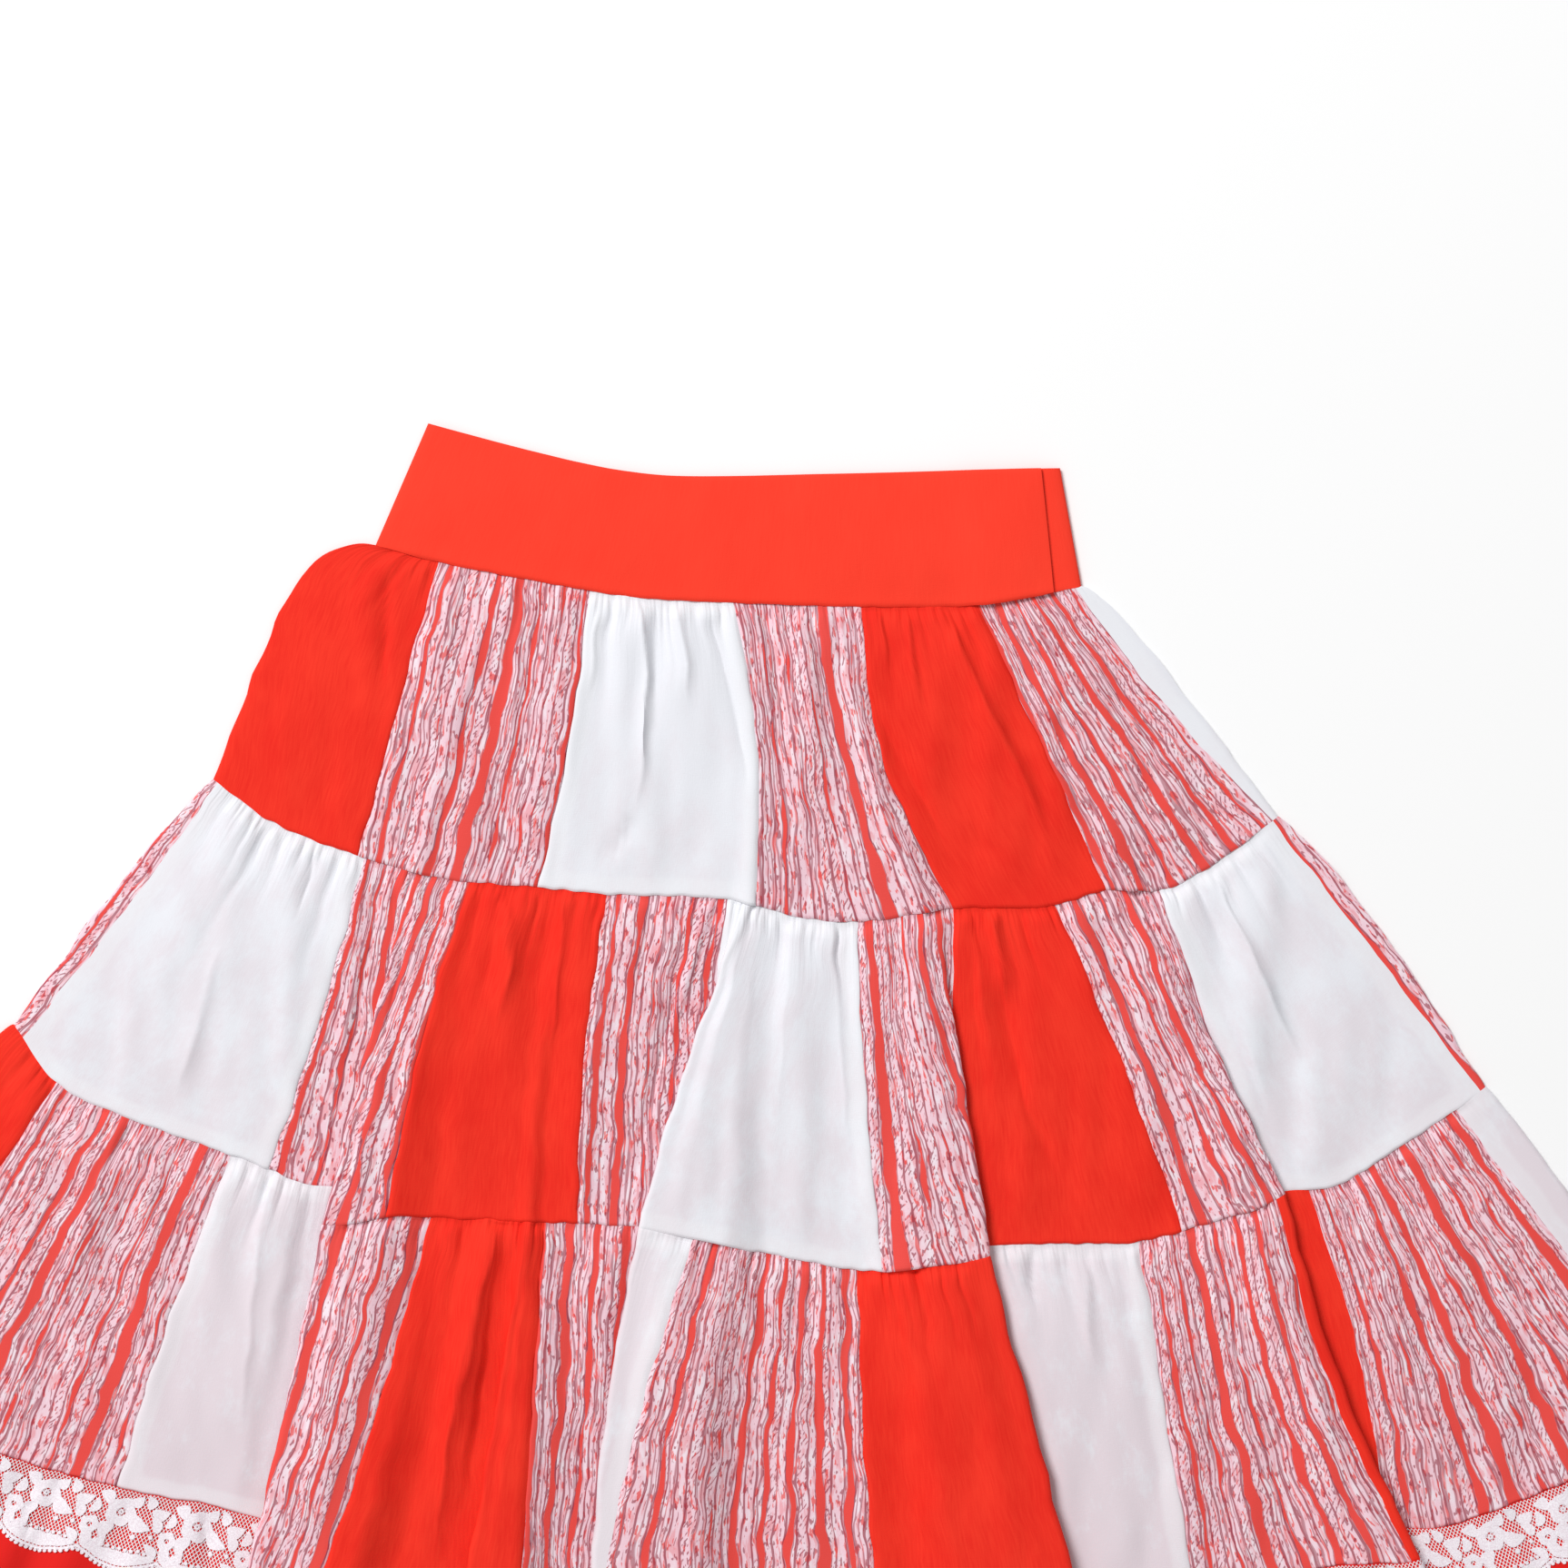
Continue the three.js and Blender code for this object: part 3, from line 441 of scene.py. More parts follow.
# Up from a scallop's edge: the braid's lower and upper line, then the crescent's lower line and
# how deep the crescent is in its middle
BRAID_LOW = 1.1
BRAID_TOP = 2.5
CRESCENT_LOW = 3.1
CRESCENT_DEEP = 7.6

# Small loops along the edge of one scallop
PICOTS = 16

# Corners round the lace's roses and dots, and along its leaves
ROSE_STEPS = 24
DOT_STEPS = 7
LEAF_STEPS = 8

# The floor's width in metres and how white its paint is
FLOOR_SIZE = 24
FLOOR_WHITE = 0.97

# Distances of the rows of a tier's mesh from the seam above and from the seam below, and the
# largest distance between two rows in the middle
NEAR_ABOVE = (0, 0.4, 0.9, 1.6, 2.6, 4, 5.8, 8, 10.5, 13.5, 17, 21)
NEAR_BELOW = (0, 0.4, 0.9, 1.6, 2.8, 4.8, 8)
ROW_STEP = 6.5

# Rows of the other meshes and of the plainer back patches, as shares of their height
BAND_ROWS = (
    0, 0.008, 0.02, 0.04, 0.08, 0.15, 0.25, 0.36, 0.48, 0.6, 0.72, 0.82, 0.9, 0.95, 0.975, 0.99, 1,
)
RUFFLE_ROWS = (0, 0.01, 0.03, 0.06, 0.11, 0.18, 0.27, 0.38, 0.5, 0.63, 0.76, 0.88, 0.96, 1)
LACE_ROWS = (0, 0.06, 0.16, 0.29, 0.43, 0.57, 0.71, 0.84, 0.94, 1)
BACK_ROW_SHARES = (0, 0.02, 0.05, 0.1, 0.16, 0.24, 0.34, 0.46, 0.6, 0.75, 0.88, 0.96, 1)


def ease(share):
    """Smooth step from 0 to 1."""
    s = np.clip(share, 0, 1)
    return s * s * (3 - 2 * s)


def mix(low, high, share):
    """The value a share of the way from low to high."""
    return low + (high - low) * share


def uneven(n, salt=0.0):
    """A steady, uneven share between 0 and 1 for each number."""
    wave = np.sin(np.asarray(n) * 12.9898 + 4.1414 + salt * 7.233) * 43.7585
    return wave - np.floor(wave)


def kept_above(values, low, soft=0.5):
    """The values with what falls under the low one eased up to it."""
    return low + soft * np.logaddexp(0, (values - low) / soft)


def bead(form, distance):
    """The height of a roll or the depth of a groove at a distance from its edge."""
    return form.height * np.exp(-(((distance - form.away) / form.half) ** 2))


def soft_noise(x, y, size, salt):
    """Smooth waves between about -1 and 1, of about that size, from a few crossing sines."""
    total = np.zeros(np.broadcast(x, y).shape)
    for i in range(5):
        turn = 2 * math.pi * uneven(i, salt)
        speed = 2 * math.pi / (size * mix(0.75, 1.6, uneven(i, salt + 3)))
        phase = 20 * uneven(i, salt + 5)
        total = total + np.sin((x * math.cos(turn) + y * math.sin(turn)) * speed + phase)
    return total / 2.6


def waves_at(x, y, waves, salt=0):
    """The sum of a few soft waves at a place of the cloth."""
    total = 0.0
    for wave in waves:
        along, down = wave.stretch
        total = total + wave.high * soft_noise(x * along, y * down, wave.size, salt + wave.salt)
    return total


def smooth_line(points):
    """A smooth y(x) through the points."""
    xs, ys = np.array(points, float).T
    last = len(xs) - 1
    before = np.maximum(np.arange(last + 1) - 1, 0)
    after = np.minimum(np.arange(last + 1) + 1, last)
    slopes = (ys[after] - ys[before]) / (xs[after] - xs[before])

    def y_at(x):
        i = np.clip(np.searchsorted(xs, x, side="left") - 1, 0, last - 1)
        width = xs[i + 1] - xs[i]
        t = np.clip((x - xs[i]) / width, 0, 1)
        rise = ys[i + 1] - ys[i]
        bend = (1 - t) * (slopes[i] * width - rise) - t * (slopes[i + 1] * width - rise)
        return ys[i] + t * rise + t * (1 - t) * bend

    return y_at


Ring = namedtuple("Ring", "left right front back")


def ring_of(points):
    """A ring with its line on the front and a plainer one on the back between the same ends."""
    front = smooth_line(points)
    left, right = points[0][0], points[-1][0]
    xs = mix(left, right, np.array(BACK_SHARES))
    return Ring(left, right, front, smooth_line(list(zip(xs, front(xs)))))


RING = {name: ring_of(points) for name, points in RINGS.items()}


def slope_up(along, lap, rise):
    """Height of a pleat's upper layer where it climbs onto the layers below."""
    return rise * ease((along + lap / 2 + RISE_CLEAR + RISE_WIDE) / RISE_WIDE)


def pleat(q, reach, lap, rise):
    """Place along the seam and height over a pleat whose left side lies on top."""
    bend = rise / 4
    hook = lap / 2 - bend
    top = mix(-reach, hook, (q + 1) / (1 - EDGE_FROM))
    turn_top = math.pi * (q + EDGE_FROM) / (EDGE_FROM - EDGE_TO)
    turn_low = math.pi * (q - EDGE_TO) / (EDGE_FROM - EDGE_TO)
    stages = [q < -EDGE_FROM, q < -EDGE_TO, q <= EDGE_TO, q <= EDGE_FROM]
    along = np.select(
        stages,
        [
            top,
            hook + bend * np.sin(turn_top),
            mix(hook, -hook, (q + EDGE_TO) / (2 * EDGE_TO)),
            -hook - bend * np.sin(turn_low),
        ],
        mix(-hook, reach, (q - EDGE_FROM) / (1 - EDGE_FROM)),
    )
    height = np.select(
        stages,
        [
            slope_up(top, lap, rise),
            rise - bend + bend * np.cos(turn_top),
            np.full_like(q, rise / 2),
            bend + bend * np.cos(turn_low),
        ],
        0.0,
    )
    return along, height


def ridge(q, reach, rise):
    """A fold with no lap yet: a ridge, steeper on the side where the pleat will open."""
    rising = ease((q + 1) / (1 - EDGE_FROM))
    falling = 1 - ease((q + EDGE_FROM) / (2 * EDGE_FROM))
    return reach * q, rise * np.where(q < -EDGE_FROM, rising, falling)


def fold_at(row, x):
    """What a fold adds on its ring: a shift along the seam, a step along y and a rise."""
    q = (x - row.x) / row.reach
    inside = np.abs(q) < 1
    leaned = np.where(inside, q * row.lean, 0.99)
    soft_along, soft_height = ridge(leaned, row.reach, row.rise)
    firm_along, firm_height = pleat(leaned, row.reach, max(row.lap, FIRST_LAP), row.rise)
    share = min(row.lap / FIRST_LAP, 1)
    along = mix(soft_along, firm_along, share) * row.lean
    outside = np.maximum(np.abs(q) - EDGE_TO, 0) / (1 - EDGE_TO)
    side = -np.clip(q / EDGE_TO, -1, 1) * (1 - np.minimum(outside, 1) ** 2) ** 2
    shift = np.where(inside, along - q * row.reach, 0)
    step = np.where(inside, row.step * side, 0)
    outer = (x - row.x) * row.lean
    climb = np.where(outer < 0, share * slope_up(outer, max(row.lap, FIRST_LAP), row.rise), 0)
    rise = np.where(inside, mix(soft_height, firm_height, share), climb)
    return shift, step, rise


def unroll(ring, place):
    """The x and the side of a place round a ring; past a side fold it counts on the back."""
    width = ring.right - ring.left
    around = np.mod(np.asarray(place, float) - ring.left, 2 * width)
    front = around <= width
    return np.where(front, ring.left + around, ring.right - (around - width)), front


def ring_points(name, place, back_z=BACK_Z):
    """The middle of the cloth at places of a ring, and the direction of the seam there."""
    ring = RING[name]
    x, front = unroll(ring, place)

    def y_at(value):
        return np.where(front, ring.front(value), ring.back(value))

    inward = np.clip(np.minimum(x - ring.left, ring.right - x), 0, SIDE_BEND) / SIDE_BEND
    bend = np.sqrt(np.maximum(1 - (1 - inward) ** 2, 0)) * np.where(front, 1, -1)
    along = np.stack([np.full_like(x, 2.0), y_at(x + 1) - y_at(x - 1)], axis=-1)
    along /= np.linalg.norm(along, axis=-1, keepdims=True)
    points = np.stack([x, y_at(x), mix(back_z, FRONT_Z, (1 + bend) / 2)], axis=-1)
    ripple = waves_at(x, np.zeros_like(x), SEAM_WAVES)
    points[:, 1] += RIPPLE.get(name, 1.0) * ripple * np.where(front, 1, 0.5)
    for row in (f for f in FOLDS if f.ring == name):
        shift, step, rise = (np.where(front, value, 0) for value in fold_at(row, x))
        points[:, 0] += along[:, 0] * shift
        points[:, 1] += along[:, 1] * shift + step
        points[:, 2] += rise
    return points, along


def side_share(name, place):
    """How far a place lies from the nearer side fold, as a share of where puff grows."""
    ring = RING[name]
    x, _ = unroll(ring, place)
    return ease(np.minimum(x - ring.left, ring.right - x) / SIDE_EASE)


Columns = namedtuple("Columns", "above below front bow high")


def pick(columns, keep):
    """Some of the columns."""
    return Columns(*(values[keep] for values in columns))


def cloth_points(tier, columns, rows):
    """Middle points of the cloth, a line of rows for each column, in table millimetres."""
    upper, upper_way = ring_points(tier.above, columns.above)
    lower, lower_way = ring_points(tier.below, columns.below)
    t = np.asarray(rows)[None, :, None]
    points = mix(upper[:, None, :], lower[:, None, :], t)
    along = mix(upper_way[:, None, :], lower_way[:, None, :], t)
    along = along / np.linalg.norm(along, axis=-1, keepdims=True)
    power = math.log(0.5) / np.log(columns.high)[:, None]
    bow = columns.bow[:, None] * np.sin(math.pi * np.asarray(rows)[None, :] ** power)
    points[..., :2] += along * bow[..., None]
    return points


def seams_round(tier):
    """All seams of a tier round the loop, from the back's middle over the front and back."""
    left, right = tier.seams[0], tier.seams[-1]
    shared = tier.patches - (len(tier.seams) - 1)
    left_count = shared // 2

    def back(side, count):
        end, sign, wrap = (left, -1, tier.left_wrap)
        if side == "right":
            end, sign, wrap = (right, 1, tier.right_wrap)
        rows = []
        for i in range(count + 1):
            places = []
            for level, n in (("above", 0), ("below", 1)):
                width = getattr(right, level) - getattr(left, level)
                opened = width - tier.left_wrap[n] - tier.right_wrap[n]
                places.append(getattr(end, level) + sign * (wrap[n] + opened * i / shared))
            rows.append(Seam(*places))
        return rows

    before = back("left", left_count)[::-1]
    after = back("right", shared - left_count)
    return before + list(tier.seams) + after, left_count


def folds_of(tier):
    """The long folds that run down a tier, each as its rows on the rings above and below."""
    for row in (f for f in FOLDS if f.ring == tier.above):
        for after in (f for f in FOLDS if f.ring == tier.below and f.name == row.name):
            yield row, after


def fold_anchors(tier, start, end):
    """Places above and below that keep the columns of each long fold together."""
    above, below = [start.above, end.above], [start.below, end.below]
    for row, after in folds_of(tier):
        for q in FOLD_ANCHORS:
            a = row.x + q * row.lean * row.reach
            b = after.x + q * row.lean * after.reach
            inside_above = start.above + ANCHOR_CLEAR < a < end.above - ANCHOR_CLEAR
            inside_below = start.below + ANCHOR_CLEAR < b < end.below - ANCHOR_CLEAR
            if inside_above and inside_below:
                above.append(a)
                below.append(b)
    order = np.argsort(above)
    return np.array(above)[order], np.array(below)[order]


def columns_between(tier, start, end, spacing):
    """Evenly spaced columns from one seam to the next, both included."""
    ring = RING[tier.above]
    front = ring.left < (start.above + end.above) / 2 < ring.right

    def columns_at(shares):
        above = mix(start.above, end.above, shares)
        below = mix(start.below, end.below, shares)
        if front:
            below = np.interp(above, *fold_anchors(tier, start, end))
        bow = mix(start.bow, end.bow, shares)
        return Columns(
            above, below, np.full(len(shares), front), bow, mix(start.high, end.high, shares)
        )

    fine = np.linspace(0, 1, 500)
    ends = cloth_points(tier, columns_at(fine), (0.0, 1.0))
    steps = np.linalg.norm(np.diff(ends, axis=0), axis=-1)
    lengths = np.concatenate([[0], np.cumsum(0.25 * steps[:, 0] + 0.75 * steps[:, 1])])
    apart = spacing[0] if front else spacing[1]
    count = max(int(math.ceil(lengths[-1] / apart)), 2)
    at = np.interp(np.linspace(0, lengths[-1], count + 1), lengths, fine)
    at[0], at[-1] = 0, 1
    return columns_at(at)


def columns_round(tier, seams, spacing):
    """All columns of a tier, and the column on which each seam lies."""
    runs = []
    marks = [0]
    for start, end in zip(seams, seams[1:]):
        run = columns_between(tier, start, end, spacing)
        runs.append(run if not runs else pick(run, slice(1, None)))
        marks.append(marks[-1] + len(run.above) - 1)
    return Columns(*(np.concatenate(parts) for parts in zip(*runs))), marks


def visible_share(tier, columns, rows):
    """1 where the cloth lies open, and 0 where a pleat has it turned or covered."""
    t = np.asarray(rows)[None, :]
    share = np.ones((len(columns.above), len(rows)))
    for row, after in folds_of(tier):
        q_above = (columns.above - row.x) / row.reach * row.lean
        q_below = (columns.below - after.x) / after.reach * row.lean
        q = mix(q_above[:, None], q_below[:, None], t)
        covered = ease((q - HIDDEN_FROM[0]) / HIDDEN_FROM[1])
        open_again = ease((q - HIDDEN_TO[0]) / HIDDEN_TO[1])
        lap = mix(row.lap, after.lap, t)
        hidden = covered * (1 - open_again) * ease(lap / HIDDEN_LAP)
        share *= np.where(columns.front[:, None], 1 - hidden, 1)
    return share


def gathers_relief(lengths, down, bands, salt):
    """Valleys that start at the upper seam: lengths along it, and distances down from it."""
    relief = np.zeros((len(lengths), len(down)))
    total = lengths[-1]
    for number, band in enumerate(bands):
        count = max(int(total / band.apart), 1)
        for k in range(count):
            key = k + 100 * number
            jitter = uneven(key, salt) - 0.5
            middle = (k + 0.5 + 0.75 * jitter) * total / count
            reach = band.long * mix(*LONG_RANGE, uneven(key, salt + 1))
            deep = band.deep * mix(*DEEP_RANGE, uneven(key, salt + 2))
            drift = band.apart * 0.5 * (uneven(key, salt + 3) - 0.5)
            half = band.half * mix(*HALF_RANGE, uneven(key, salt + 4))
            near = np.abs(lengths - middle) < band.apart * 2.5
            share = down[None, :] / reach
            away = lengths[near, None] - middle - drift * share
            width = half * (1 + 0.9 * share)
            fade = np.clip(1 - share, 0, 1) ** 1.3 * mix(0.35, 1, ease(down[None, :] / 2.5))
            relief[near] -= deep * fade / (1 + (away / width) ** 2)
    return relief


def crease_relief(points, crease):
    """One crease's ridge or valley over the points of a grid."""
    line = np.array(crease.points, float)
    steps = np.diff(line, axis=0)
    spans = np.linalg.norm(steps, axis=1)
    starts = np.concatenate([[0], np.cumsum(spans)])
    xy = points[..., :2]
    best = np.full(xy.shape[:-1], 1e9)
    side = np.zeros_like(best)
    place = np.zeros_like(best)
    for i, (step, span) in enumerate(zip(steps, spans)):
        rel = xy - line[i]
        t = np.clip((rel @ step) / span**2, 0, 1)
        gap = np.linalg.norm(rel - t[..., None] * step, axis=-1)
        across = (rel[..., 0] * -step[1] + rel[..., 1] * step[0]) / span
        nearer = gap < best
        best = np.where(nearer, gap, best)
        side = np.where(nearer, across, side)
        place = np.where(nearer, starts[i] + t * span, place)
    share = place / starts[-1]
    fade = ease((share + 0.04) / 0.14) * ease((1 - share) / 0.4)
    steep = 1 - CREASE_LEAN * crease.lean * np.where(side > 0, 1, -1)
    away = best / (crease.width * steep)
    soft, sharp = np.exp(-(away**2)), np.exp(-CREASE_SHARP * away)
    return crease.height * fade * CREASE_PARTS * (soft + sharp)


def arcs_along(points):
    """Lengths along each row of a grid from its first column."""
    steps = np.linalg.norm(np.diff(points, axis=0), axis=-1)
    return np.concatenate([np.zeros((1, points.shape[1])), np.cumsum(steps, axis=0)])


def share_of_both(above, below, upper, lower):
    """The smaller side share of each column on the rings above and below."""
    return np.minimum(side_share(above, upper), side_share(below, lower))[:, None]


def creases_of(tier, points):
    """All creases of a tier over the points of its grid."""
    relief = np.zeros(points.shape[:2])
    for crease in (c for c in CREASES if c.tier == tier.name):
        relief += crease_relief(points, crease)
    return relief


def grid_normals(points):
    """Outward normals of a grid of columns that run down and lie side by side to the right."""
    right = np.gradient(points, axis=0)
    down = np.gradient(points, axis=1)
    normals = np.cross(down, right)
    return normals / np.maximum(np.linalg.norm(normals, axis=-1, keepdims=True), 1e-9)


def to_row(points):
    """Table millimetres to the row frame, in metres."""
    moved = np.array(points, float)
    moved[..., 0] -= MIDDLE[0]
    moved[..., 1] -= MIDDLE[1]
    return moved / 1000


def shell(name, points, normals, thickness, uv, marks=None):
    """A closed thin shell over a grid of middle points, with its cloth map and named values."""
    across, down = points.shape[:2]
    half = normals * thickness / 2
    corners = np.concatenate([(points + half).reshape(-1, 3), (points - half).reshape(-1, 3)])
    index = np.arange(across * down).reshape(across, down)
    inner = index + across * down
    tops = np.stack([index[:-1, :-1], index[:-1, 1:], index[1:, 1:], index[1:, :-1]], axis=-1)
    lows = np.stack([inner[:-1, :-1], inner[1:, :-1], inner[1:, 1:], inner[:-1, 1:]], axis=-1)
    rims = [
        np.stack([index[:-1, 0], index[1:, 0], inner[1:, 0], inner[:-1, 0]], axis=-1),
        np.stack([index[:-1, -1], inner[:-1, -1], inner[1:, -1], index[1:, -1]], axis=-1),
        np.stack([index[0, :-1], inner[0, :-1], inner[0, 1:], index[0, 1:]], axis=-1),
        np.stack([index[-1, :-1], index[-1, 1:], inner[-1, 1:], inner[-1, :-1]], axis=-1),
    ]
    quads = np.concatenate([tops.reshape(-1, 4), lows.reshape(-1, 4), *rims])
    mesh = bpy.data.meshes.new(name)
    mesh.from_pydata(to_row(corners).tolist(), [], quads.tolist())
    mesh.validate()
    corner_of = np.empty(len(mesh.loops), int)
    mesh.loops.foreach_get("vertex_index", corner_of)
    twice = np.concatenate([uv.reshape(-1, 2), uv.reshape(-1, 2)])
    layer = mesh.uv_layers.new(name="cloth")
    layer.data.foreach_set("uv", twice[corner_of].ravel())
    for key, values in (marks or {}).items():
        doubled = np.concatenate([values.ravel(), values.ravel()])
        mesh.attributes.new(key, "FLOAT", "POINT").data.foreach_set("value", doubled)
    mesh.shade_smooth()
    mesh.set_sharp_from_angle(angle=math.radians(70))
    return mesh


def add_piece(name, mesh, material, nodes=()):
    """Puts a mesh in the scene as a piece of the skirt."""
    mesh.materials.append(material)
    piece = bpy.data.objects.new(name, mesh)
    bpy.context.scene.collection.objects.link(piece)
    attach(piece, "root")
    if nodes:
        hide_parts(*nodes)
    return piece


def tier_rows(length):
    """Row shares down a tier, close together beside both seams."""
    middle_from = NEAR_ABOVE[-1]
    middle_to = length - NEAR_BELOW[-1]
    count = int(math.ceil((middle_to - middle_from) / ROW_STEP))
    middle = np.linspace(middle_from, middle_to, count + 1)[1:-1]
    rows = [*NEAR_ABOVE, *middle, *(length - d for d in reversed(NEAR_BELOW))]
    return np.array(rows) / length


def tier_relief(tier, points, columns, rows, marks, salt):
    """Heights over the plain form of a tier: puff, gathers, creases and the seams' grooves."""
    down = rows * tier.length
    up = tier.length - down
    arcs = arcs_along(points)
    front = columns.front[:, None]
    share = share_of_both(tier.above, tier.below, columns.above, columns.below)
    visible = visible_share(tier, columns, rows)
    gathers = gathers_relief(arcs[:, 0], down, TIER_GATHERS, salt)
    lift = GATHER_LIFT * ease(down / LIFT_OVER) * (1 - ease((down - SINK_FROM) / SINK_OVER))
    waves = waves_at(points[..., 0], points[..., 1], TIER_WAVES, salt)
    waves *= ease(down / WAVES_FROM[0]) * ease(up / WAVES_FROM[1])
    creases = creases_of(tier, points)
    on_front = PUFF * np.sin(math.pi * rows) + gathers + lift + waves + creases
    pressed = (BACK_GATHERS * (gathers + lift) + BACK_WAVES * waves) * ease(down / 2)
    relief = np.where(front, on_front * visible, np.clip(-pressed, 0, BACK_MOST)) * share
    beside = np.min([np.abs(arcs - arcs[mark]) for mark in marks], axis=0)
    groove = bead(PATCH_GROOVE, beside) - bead(PATCH_ROLL, beside)
    relief -= np.where(front, groove * visible * share, 0)
    edges = bead(LOW_ROLL, up) - bead(LOW_GROOVE, up) - bead(TOP_GROOVE, down)
    relief += np.where(front, edges * np.maximum(visible, 0.4) * share, 0)
    return relief, arcs, beside


def wandered(points, tier, rows):
    """Shifts the cloth a little sideways here and there, as hand-laid cloth lies, but not its seams."""
    down = rows * tier.length
    free = ease(down / WANDER_FROM[0]) * ease((tier.length - down) / WANDER_FROM[1])
    x, y = points[..., 0], points[..., 1]
    moved = points.copy()
    moved[..., 0] += free * waves_at(x, y, SIDEWAYS_WAVES)
    moved[..., 1] += free * waves_at(x, y, DOWNWARD_WAVES)
    return moved


def settled(front, plain, relief, most=None):
    """Heights of the cloth with its relief, the front's kept above the back's."""
    raised = kept_above(plain + relief, FRONT_LOWEST)
    if most is not None:
        raised = np.minimum(raised, plain + most)
    return np.where(relief == 0, plain, np.where(front, raised, plain + relief))


def cloth_uv(across, down):
    """The cloth map of a grid from its millimetres across and down."""
    return np.stack(np.broadcast_arrays(across, down), axis=-1) / 100


def build_tier(tier, settings, salt):
    """Makes the patches of a tier and puts each in the scene as a piece of the skirt."""
    seams, left_count = seams_round(tier)
    spacing = (settings.front_spacing * 1000, settings.back_spacing * 1000)
    columns, at = columns_round(tier, seams, spacing)
    side = [i for i, row in enumerate(seams) if row in (tier.seams[0], tier.seams[-1])]
    marks = [mark for i, mark in enumerate(at) if i not in side]
    rows = tier_rows(tier.length)
    points = cloth_points(tier, columns, rows)
    relief, arcs, beside = tier_relief(tier, points, columns, rows, marks, salt)
    points = wandered(points, tier, rows)
    points[..., 2] = settled(columns.front[:, None], points[..., 2], relief, RELIEF_MOST)
    normals = grid_normals(points)
    down = rows * tier.length
    hem = np.minimum(down, tier.length - down)
    values = {
        "seam": np.minimum(beside, hem),
        "fullness": np.exp(-down / FULLNESS_FADE),
        "behind": mix(*tier.behind, rows),
    }
    values = {key: np.broadcast_to(value, arcs.shape) for key, value in values.items()}
    thickness = settings.cloth_thickness * 1000
    for i, (first, last) in enumerate(zip(marks, marks[1:])):
        number = (i - left_count) % tier.patches + 1
        kind = tier.order[(number - 1) % len(tier.order)]
        on_back = number > len(tier.seams) - 1
        keep_rows = np.arange(len(rows))
        if on_back:
            keep_rows = np.unique([np.argmin(np.abs(rows - s)) for s in BACK_ROW_SHARES])
        part = np.ix_(np.arange(first, last + 1), keep_rows)
        spans = arcs[last] - arcs[first]
        width = float(np.trapz(spans, rows))
        across = (arcs[first:last + 1] - arcs[first]) / spans * width + PATCH_APART * number
        uv = cloth_uv(across[:, keep_rows], down[keep_rows] + TIER_APART * salt)
        kept = {key: value[part] for key, value in values.items()}
        name = f"{tier.name}_{kind}_{number:02d}"
        mesh = shell(f"cloth_{name}", points[part], normals[part], thickness, uv, kept)
        node = BACK_PAIRS.get(number, name) if tier.name == "tier3" else name
        piece = add_piece(f"cloth_{name}", mesh, cotton(kind), [node])


def lay_on(points, normals, lengths, down, over):
    """Makes lay(s, w, height), which lays places along and down the lace over the ruffle."""
    def lay(s, w, height):
        i = np.clip(np.interp(s, lengths, np.arange(len(lengths))), 0, len(lengths) - 1.001)
        j = np.clip(np.interp(w, down, np.arange(len(down))), 0, len(down) - 1.001)
        i0, j0 = i.astype(int), j.astype(int)
        f, g = (i - i0)[:, None], (j - j0)[:, None]

        def at(grid):
            upper = mix(grid[i0, j0], grid[i0 + 1, j0], f)
            return mix(upper, mix(grid[i0, j0 + 1], grid[i0 + 1, j0 + 1], f), g)

        way = at(normals)
        way /= np.linalg.norm(way, axis=-1, keepdims=True)
        return at(points) + way * (over + height)

    return lay


def build_lace(half, points, normals, down, arcs, over):
    """Makes the net and the flowers of one half of the lace, on that half of the ruffle."""
    lengths = arcs[:, 0] - arcs[0, 0]
    deep = scallop_edge(arcs[:, 0])[:, None] * np.array(LACE_ROWS)
    spots = np.empty((*deep.shape, 3))
    ways = np.empty_like(spots)
    for i, places in enumerate(deep):
        for axis in range(3):
            spots[i, :, axis] = np.interp(places, down, points[i, :, axis])
            ways[i, :, axis] = np.interp(places, down, normals[i, :, axis])
    ways /= np.linalg.norm(ways, axis=-1, keepdims=True)
    spots += ways * over
    net = shell(f"lace_{half}_net", spots, ways, NET_THICK, cloth_uv(lengths[:, None], deep))
    lace = add_piece(f"lace_{half}_net", net, lace_net(), [f"lace_{half}"])
    name = f"lace_{half}_flowers"
    lay = lay_on(points, normals, lengths, down, over)
    plate = plates(name, lay, int(lengths[-1] / SCALLOP_PITCH))
    flowers = add_piece(name, plate, lace_thread())


